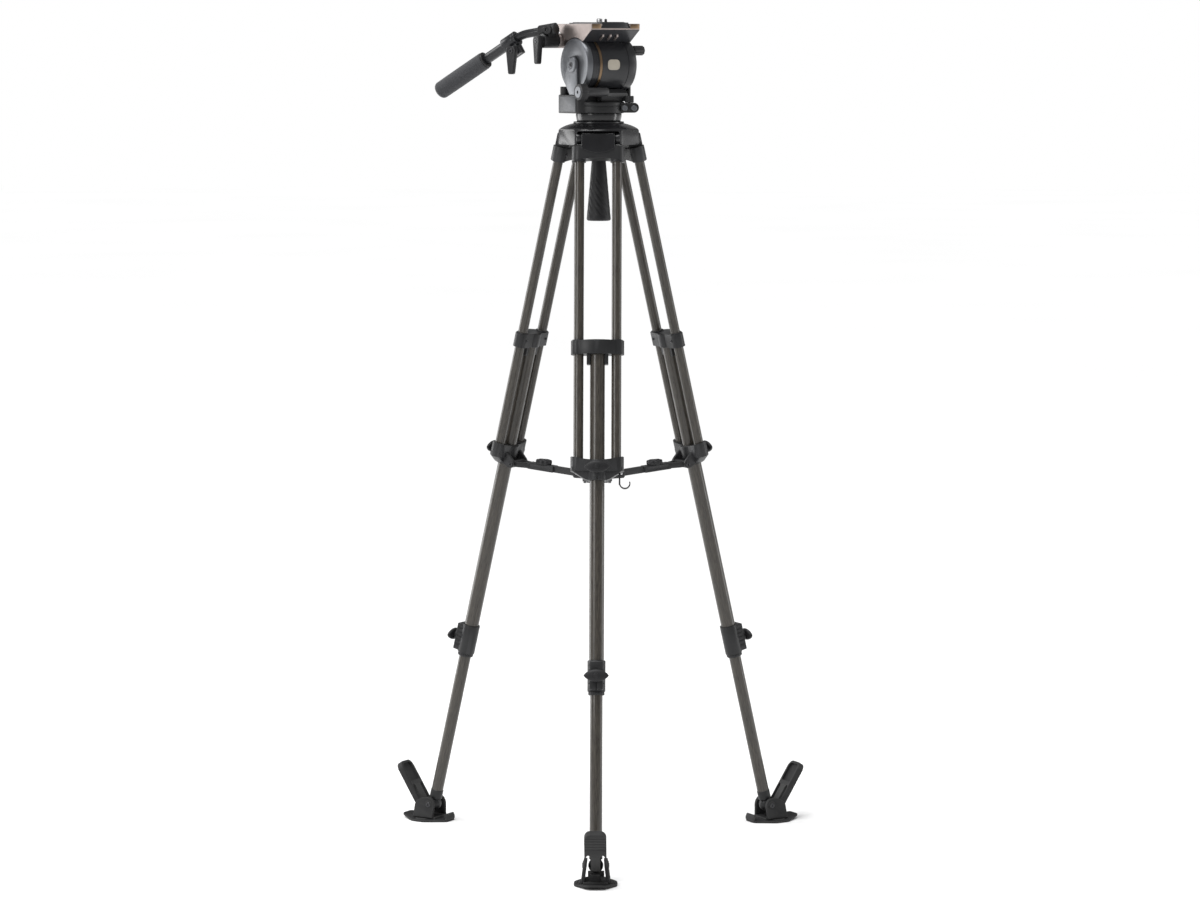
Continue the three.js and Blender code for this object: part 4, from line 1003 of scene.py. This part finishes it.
def pan_bar():
    y, z = ROSETTE_Y, ROSETTE_Z
    riser = rounded([(y - 8, z), (y + 11, z), (y + 11, 1350), (y - 8, 1350)], [0, 0, 4, 6])
    parts = [rod_x(50.6, 79, y, z, 12), prism(riser, 56, 72, "X"),
             rod(bar_point(-11, 0, 11 * DIP_SLOPE), bar_point(20, 0, -20 * DIP_SLOPE), 10),
             rod(bar_point(-1, 5, 0), bar_point(-1, 15, 0), 7.5)]
    socket_at = (bar_point(-1, 12.6, 0), bar_point(-1, 16, 0))
    shape = cut(join(*[bevelled(p, 0.9, 3) for p in parts]), rod_x(71, 80, y, z, 3),
                rod(bar_point(9.2, 0, -9.2 * DIP_SLOPE), bar_point(23, 0, -23 * DIP_SLOPE), 7.6),
                rod(*socket_at, 3.6, sides=6))
    piece("bar_knuckle", shape, HEAD, "pan_bar", CASTING, "pan_bar_clamp", edge=0.25)
    clamp_lever("rosette_lever", HEAD, 79 + GAP, y, z, "upper_clamp_lever")

    slope = math.radians(BAR_SLOPE)
    start = Vector((0, 9.5, -9.5 * DIP_SLOPE))
    bend = Vector(BEND)
    tip = bend + ROD_LENGTH * Vector((0, math.cos(slope), -math.sin(slope)))
    into, out = bend + (start - bend).normalized() * 12, bend + (tip - bend).normalized() * 12
    curve = [(1 - t) ** 2 * into + 2 * t * (1 - t) * bend + t * t * out
             for t in (i / 12 for i in range(13))]
    piece("bar_rod", bevelled(swept_rod([start, *curve, tip], 7), 0.5), BAR, "pan_bar", SATIN,
          "pan_bar_rod")

    along_y = turn("X", -90)
    tube = turned([(0, TUBE_END), (0, TUBE_END - 7.5), (7.4, TUBE_END - 7.5), (7.4, 10), (12, 10),
                   (12.5, 10.6), (12.5, 14), (12, 14.5), (12, 15.5), (12.5, 16), (12.5, 37), (11.9, 38),
                   (8.9, 38), (8.7, 38.4), (8.7, TUBE_END - 0.5), (8.2, TUBE_END)], 72)
    tube = moved(tube, along_y)
    ear = bevelled(block((-9, 13, -26), (9, 35, -6)), 1.6, 3)
    ear = cut(ear, rod_y(0, 5, 40, 0, 11), block((-0.8, 12, -27), (0.8, 36, -10)))
    shape = cut(join(tube, ear), rod_x(-10, -2, 22, -18, 3), rod_x(4, 10, 22, -18, 3.4, sides=6))
    piece("bar_tube", shape, LOWER_BAR, "pan_bar_tube", SATIN, "pan_bar_tube", edge=0.2)
    lever_place = LOWER_BAR @ shift(-9 - GAP, 22, -18) @ turn("Z", 180) @ turn("X", -BAR_SLOPE)
    clamp_lever("length_lever", lever_place, 0, 0, 0, "lower_clamp_lever")
    grip()


def grip():
    """The foam grip, a little barrel-shaped, with a moulded ring at its upper end."""
    along_y = turn("X", -90)

    def pores(angle, height, reach):
        if reach < 10:
            return 0
        spot = Vector((reach * math.cos(angle), reach * math.sin(angle), height))
        return 0.12 * noise.noise(spot * 0.55) + 0.06 * noise.noise(spot * 1.7)

    shoulder = GRIP_END - 8
    sides = [(14.55 + 0.2 * math.sin(math.pi * i / 40), 85 + (shoulder - 85) * i / 40) for i in range(41)]
    tip = [(x + 6.6, z) for x, z in arc(8, shoulder, 0, 90, 10)]
    outline = [(9, 83), (13.4, 83), (14.3, 83.6), *sides, *tip[1:], (0, GRIP_END), (0, TUBE_END + GAP),
               (9, TUBE_END + GAP)]
    foam = moved(turned(outline, 96, pores), along_y)
    thing = piece("bar_grip", foam, LOWER_BAR, "pan_bar_tube", FOAM, "pan_bar_grip")
    lip = turned(rounded([(8.8, 79.6), (13.2, 79.6), (13.9, 80.4), (13.9, 82.6), (8.8, 82.6)], 0.4), 72)
    piece("bar_grip_ring", moved(lip, along_y), LOWER_BAR, "pan_bar_tube", PLASTIC)


# ---------------- transport clip
def transport_clip():
    """The hook on the front leg's bracket that holds the folded legs together."""
    bend = [math.radians(185 + 195 * i / 20) for i in range(21)]
    outer = [(8.6 + 9 * math.cos(a), 9 * math.sin(a) - 16) for a in bend]
    inner = [(8.6 + 7.2 * math.cos(a), 7.2 * math.sin(a) - 16) for a in reversed(bend)]
    stem = bevelled(block((-1.2, -4.5, -18.5), (1.4, 4.5, 6)), 0.4)
    hook = join(bevelled(prism(outer + inner, -4.5, 4.5, "Y"), 0.5), stem)
    place = leg_place("front") @ shift(-36, 0, -549) @ turn("Z", 180)
    piece("transport_clip", hook, place, "front_leg", PLASTIC)


# ---------------- light, floor and camera
LIT_POINT = (0, 0.05, 0.8)
WORLD_LIGHT, WORLD_SEEN = 0.34, 1.0
SUN_POWER, SUN_SPREAD = 2.6, 40
FOCAL_LENGTH, SENSOR_WIDTH = 112.1, 36
CAMERA_PLACE = (0.089, AXIS_Y * MM - 6.149, 1.311)
CAMERA_PITCH, CAMERA_HEADING = 6.083, 0.81


def area(name, place, size, power):
    data = bpy.data.lights.new(name, "AREA")
    data.shape = "RECTANGLE"
    data.size, data.size_y = size
    data.energy = power
    lamp = new_object(name, data)
    lamp.location = place
    lamp.rotation_euler = (Vector(LIT_POINT) - Vector(place)).to_track_quat("-Z", "Y").to_euler()


def studio():
    """A white backdrop that lights the object weakly, three soft boxes, a soft sun and the floor."""
    world = bpy.data.worlds.new("studio")
    world.use_nodes = True
    background = world.node_tree.nodes["Background"]
    background.inputs["Color"].default_value = (1.0, 1.0, 1.0, 1)
    seen = node(world.node_tree, "ShaderNodeLightPath")
    level = node(world.node_tree, "ShaderNodeMapRange")
    level.inputs["To Min"].default_value = WORLD_LIGHT
    level.inputs["To Max"].default_value = WORLD_SEEN
    world.node_tree.links.new(seen.outputs["Is Camera Ray"], level.inputs["Value"])
    world.node_tree.links.new(level.outputs["Result"], background.inputs["Strength"])
    bpy.context.scene.world = world
    area("left_side", (-3.2, 1.6, 1.5), (2.0, 2.8), 66)
    area("left_front", (-2.6, -2.6, 2.2), (1.2, 1.6), 40)
    area("right_side", (3.1, 0.4, 1.3), (0.7, 2.6), 26)
    sun = bpy.data.lights.new("sky", "SUN")
    sun.energy, sun.angle = SUN_POWER, math.radians(SUN_SPREAD)
    lamp = new_object("sky", sun)
    lamp.rotation_euler = (math.radians(12), math.radians(-14), 0)
    material, tree, shader = start_material("pale_floor", (0.93, 0.93, 0.93), 0.85)
    tone = ramp(tree, noise_of(tree, 0.8, 2), [(0.3, (0.92, 0.92, 0.92)), (0.7, (0.94, 0.94, 0.94))])
    tree.links.new(tone, shader.inputs["Base Color"])
    bm = bmesh.new()
    bmesh.ops.create_grid(bm, x_segments=2, y_segments=2, size=30)
    mesh = bpy.data.meshes.new("floor")
    bm.to_mesh(mesh)
    bm.free()
    mesh.materials.append(material)
    floor = new_object("floor", mesh)
    bpy.context.scene.view_settings.view_transform = "Standard"


def photo_camera():
    data = bpy.data.cameras.new("photo_view")
    data.lens, data.sensor_width = FOCAL_LENGTH, SENSOR_WIDTH
    data.clip_end = 100
    camera = new_object("photo_view", data)
    camera.location = CAMERA_PLACE
    camera.rotation_euler = (math.radians(90 - CAMERA_PITCH), 0, math.radians(CAMERA_HEADING))
    bpy.context.scene.camera = camera


# ---------------- build
photo_camera()
studio()
crown()
for leg_side in LEGS:
    at = leg_place(leg_side)
    top_fitting(leg_side, at)
    slider(leg_side, at)
    lower_bracket(leg_side, at)
    collar(leg_side, at)
    foot(leg_side)
    spreader_arm(leg_side)
hub()
transport_clip()
half_ball()
tie_down()
pan_base()
yoke()
drum()
platform()
camera_plate()
head_knobs()
pan_bar()
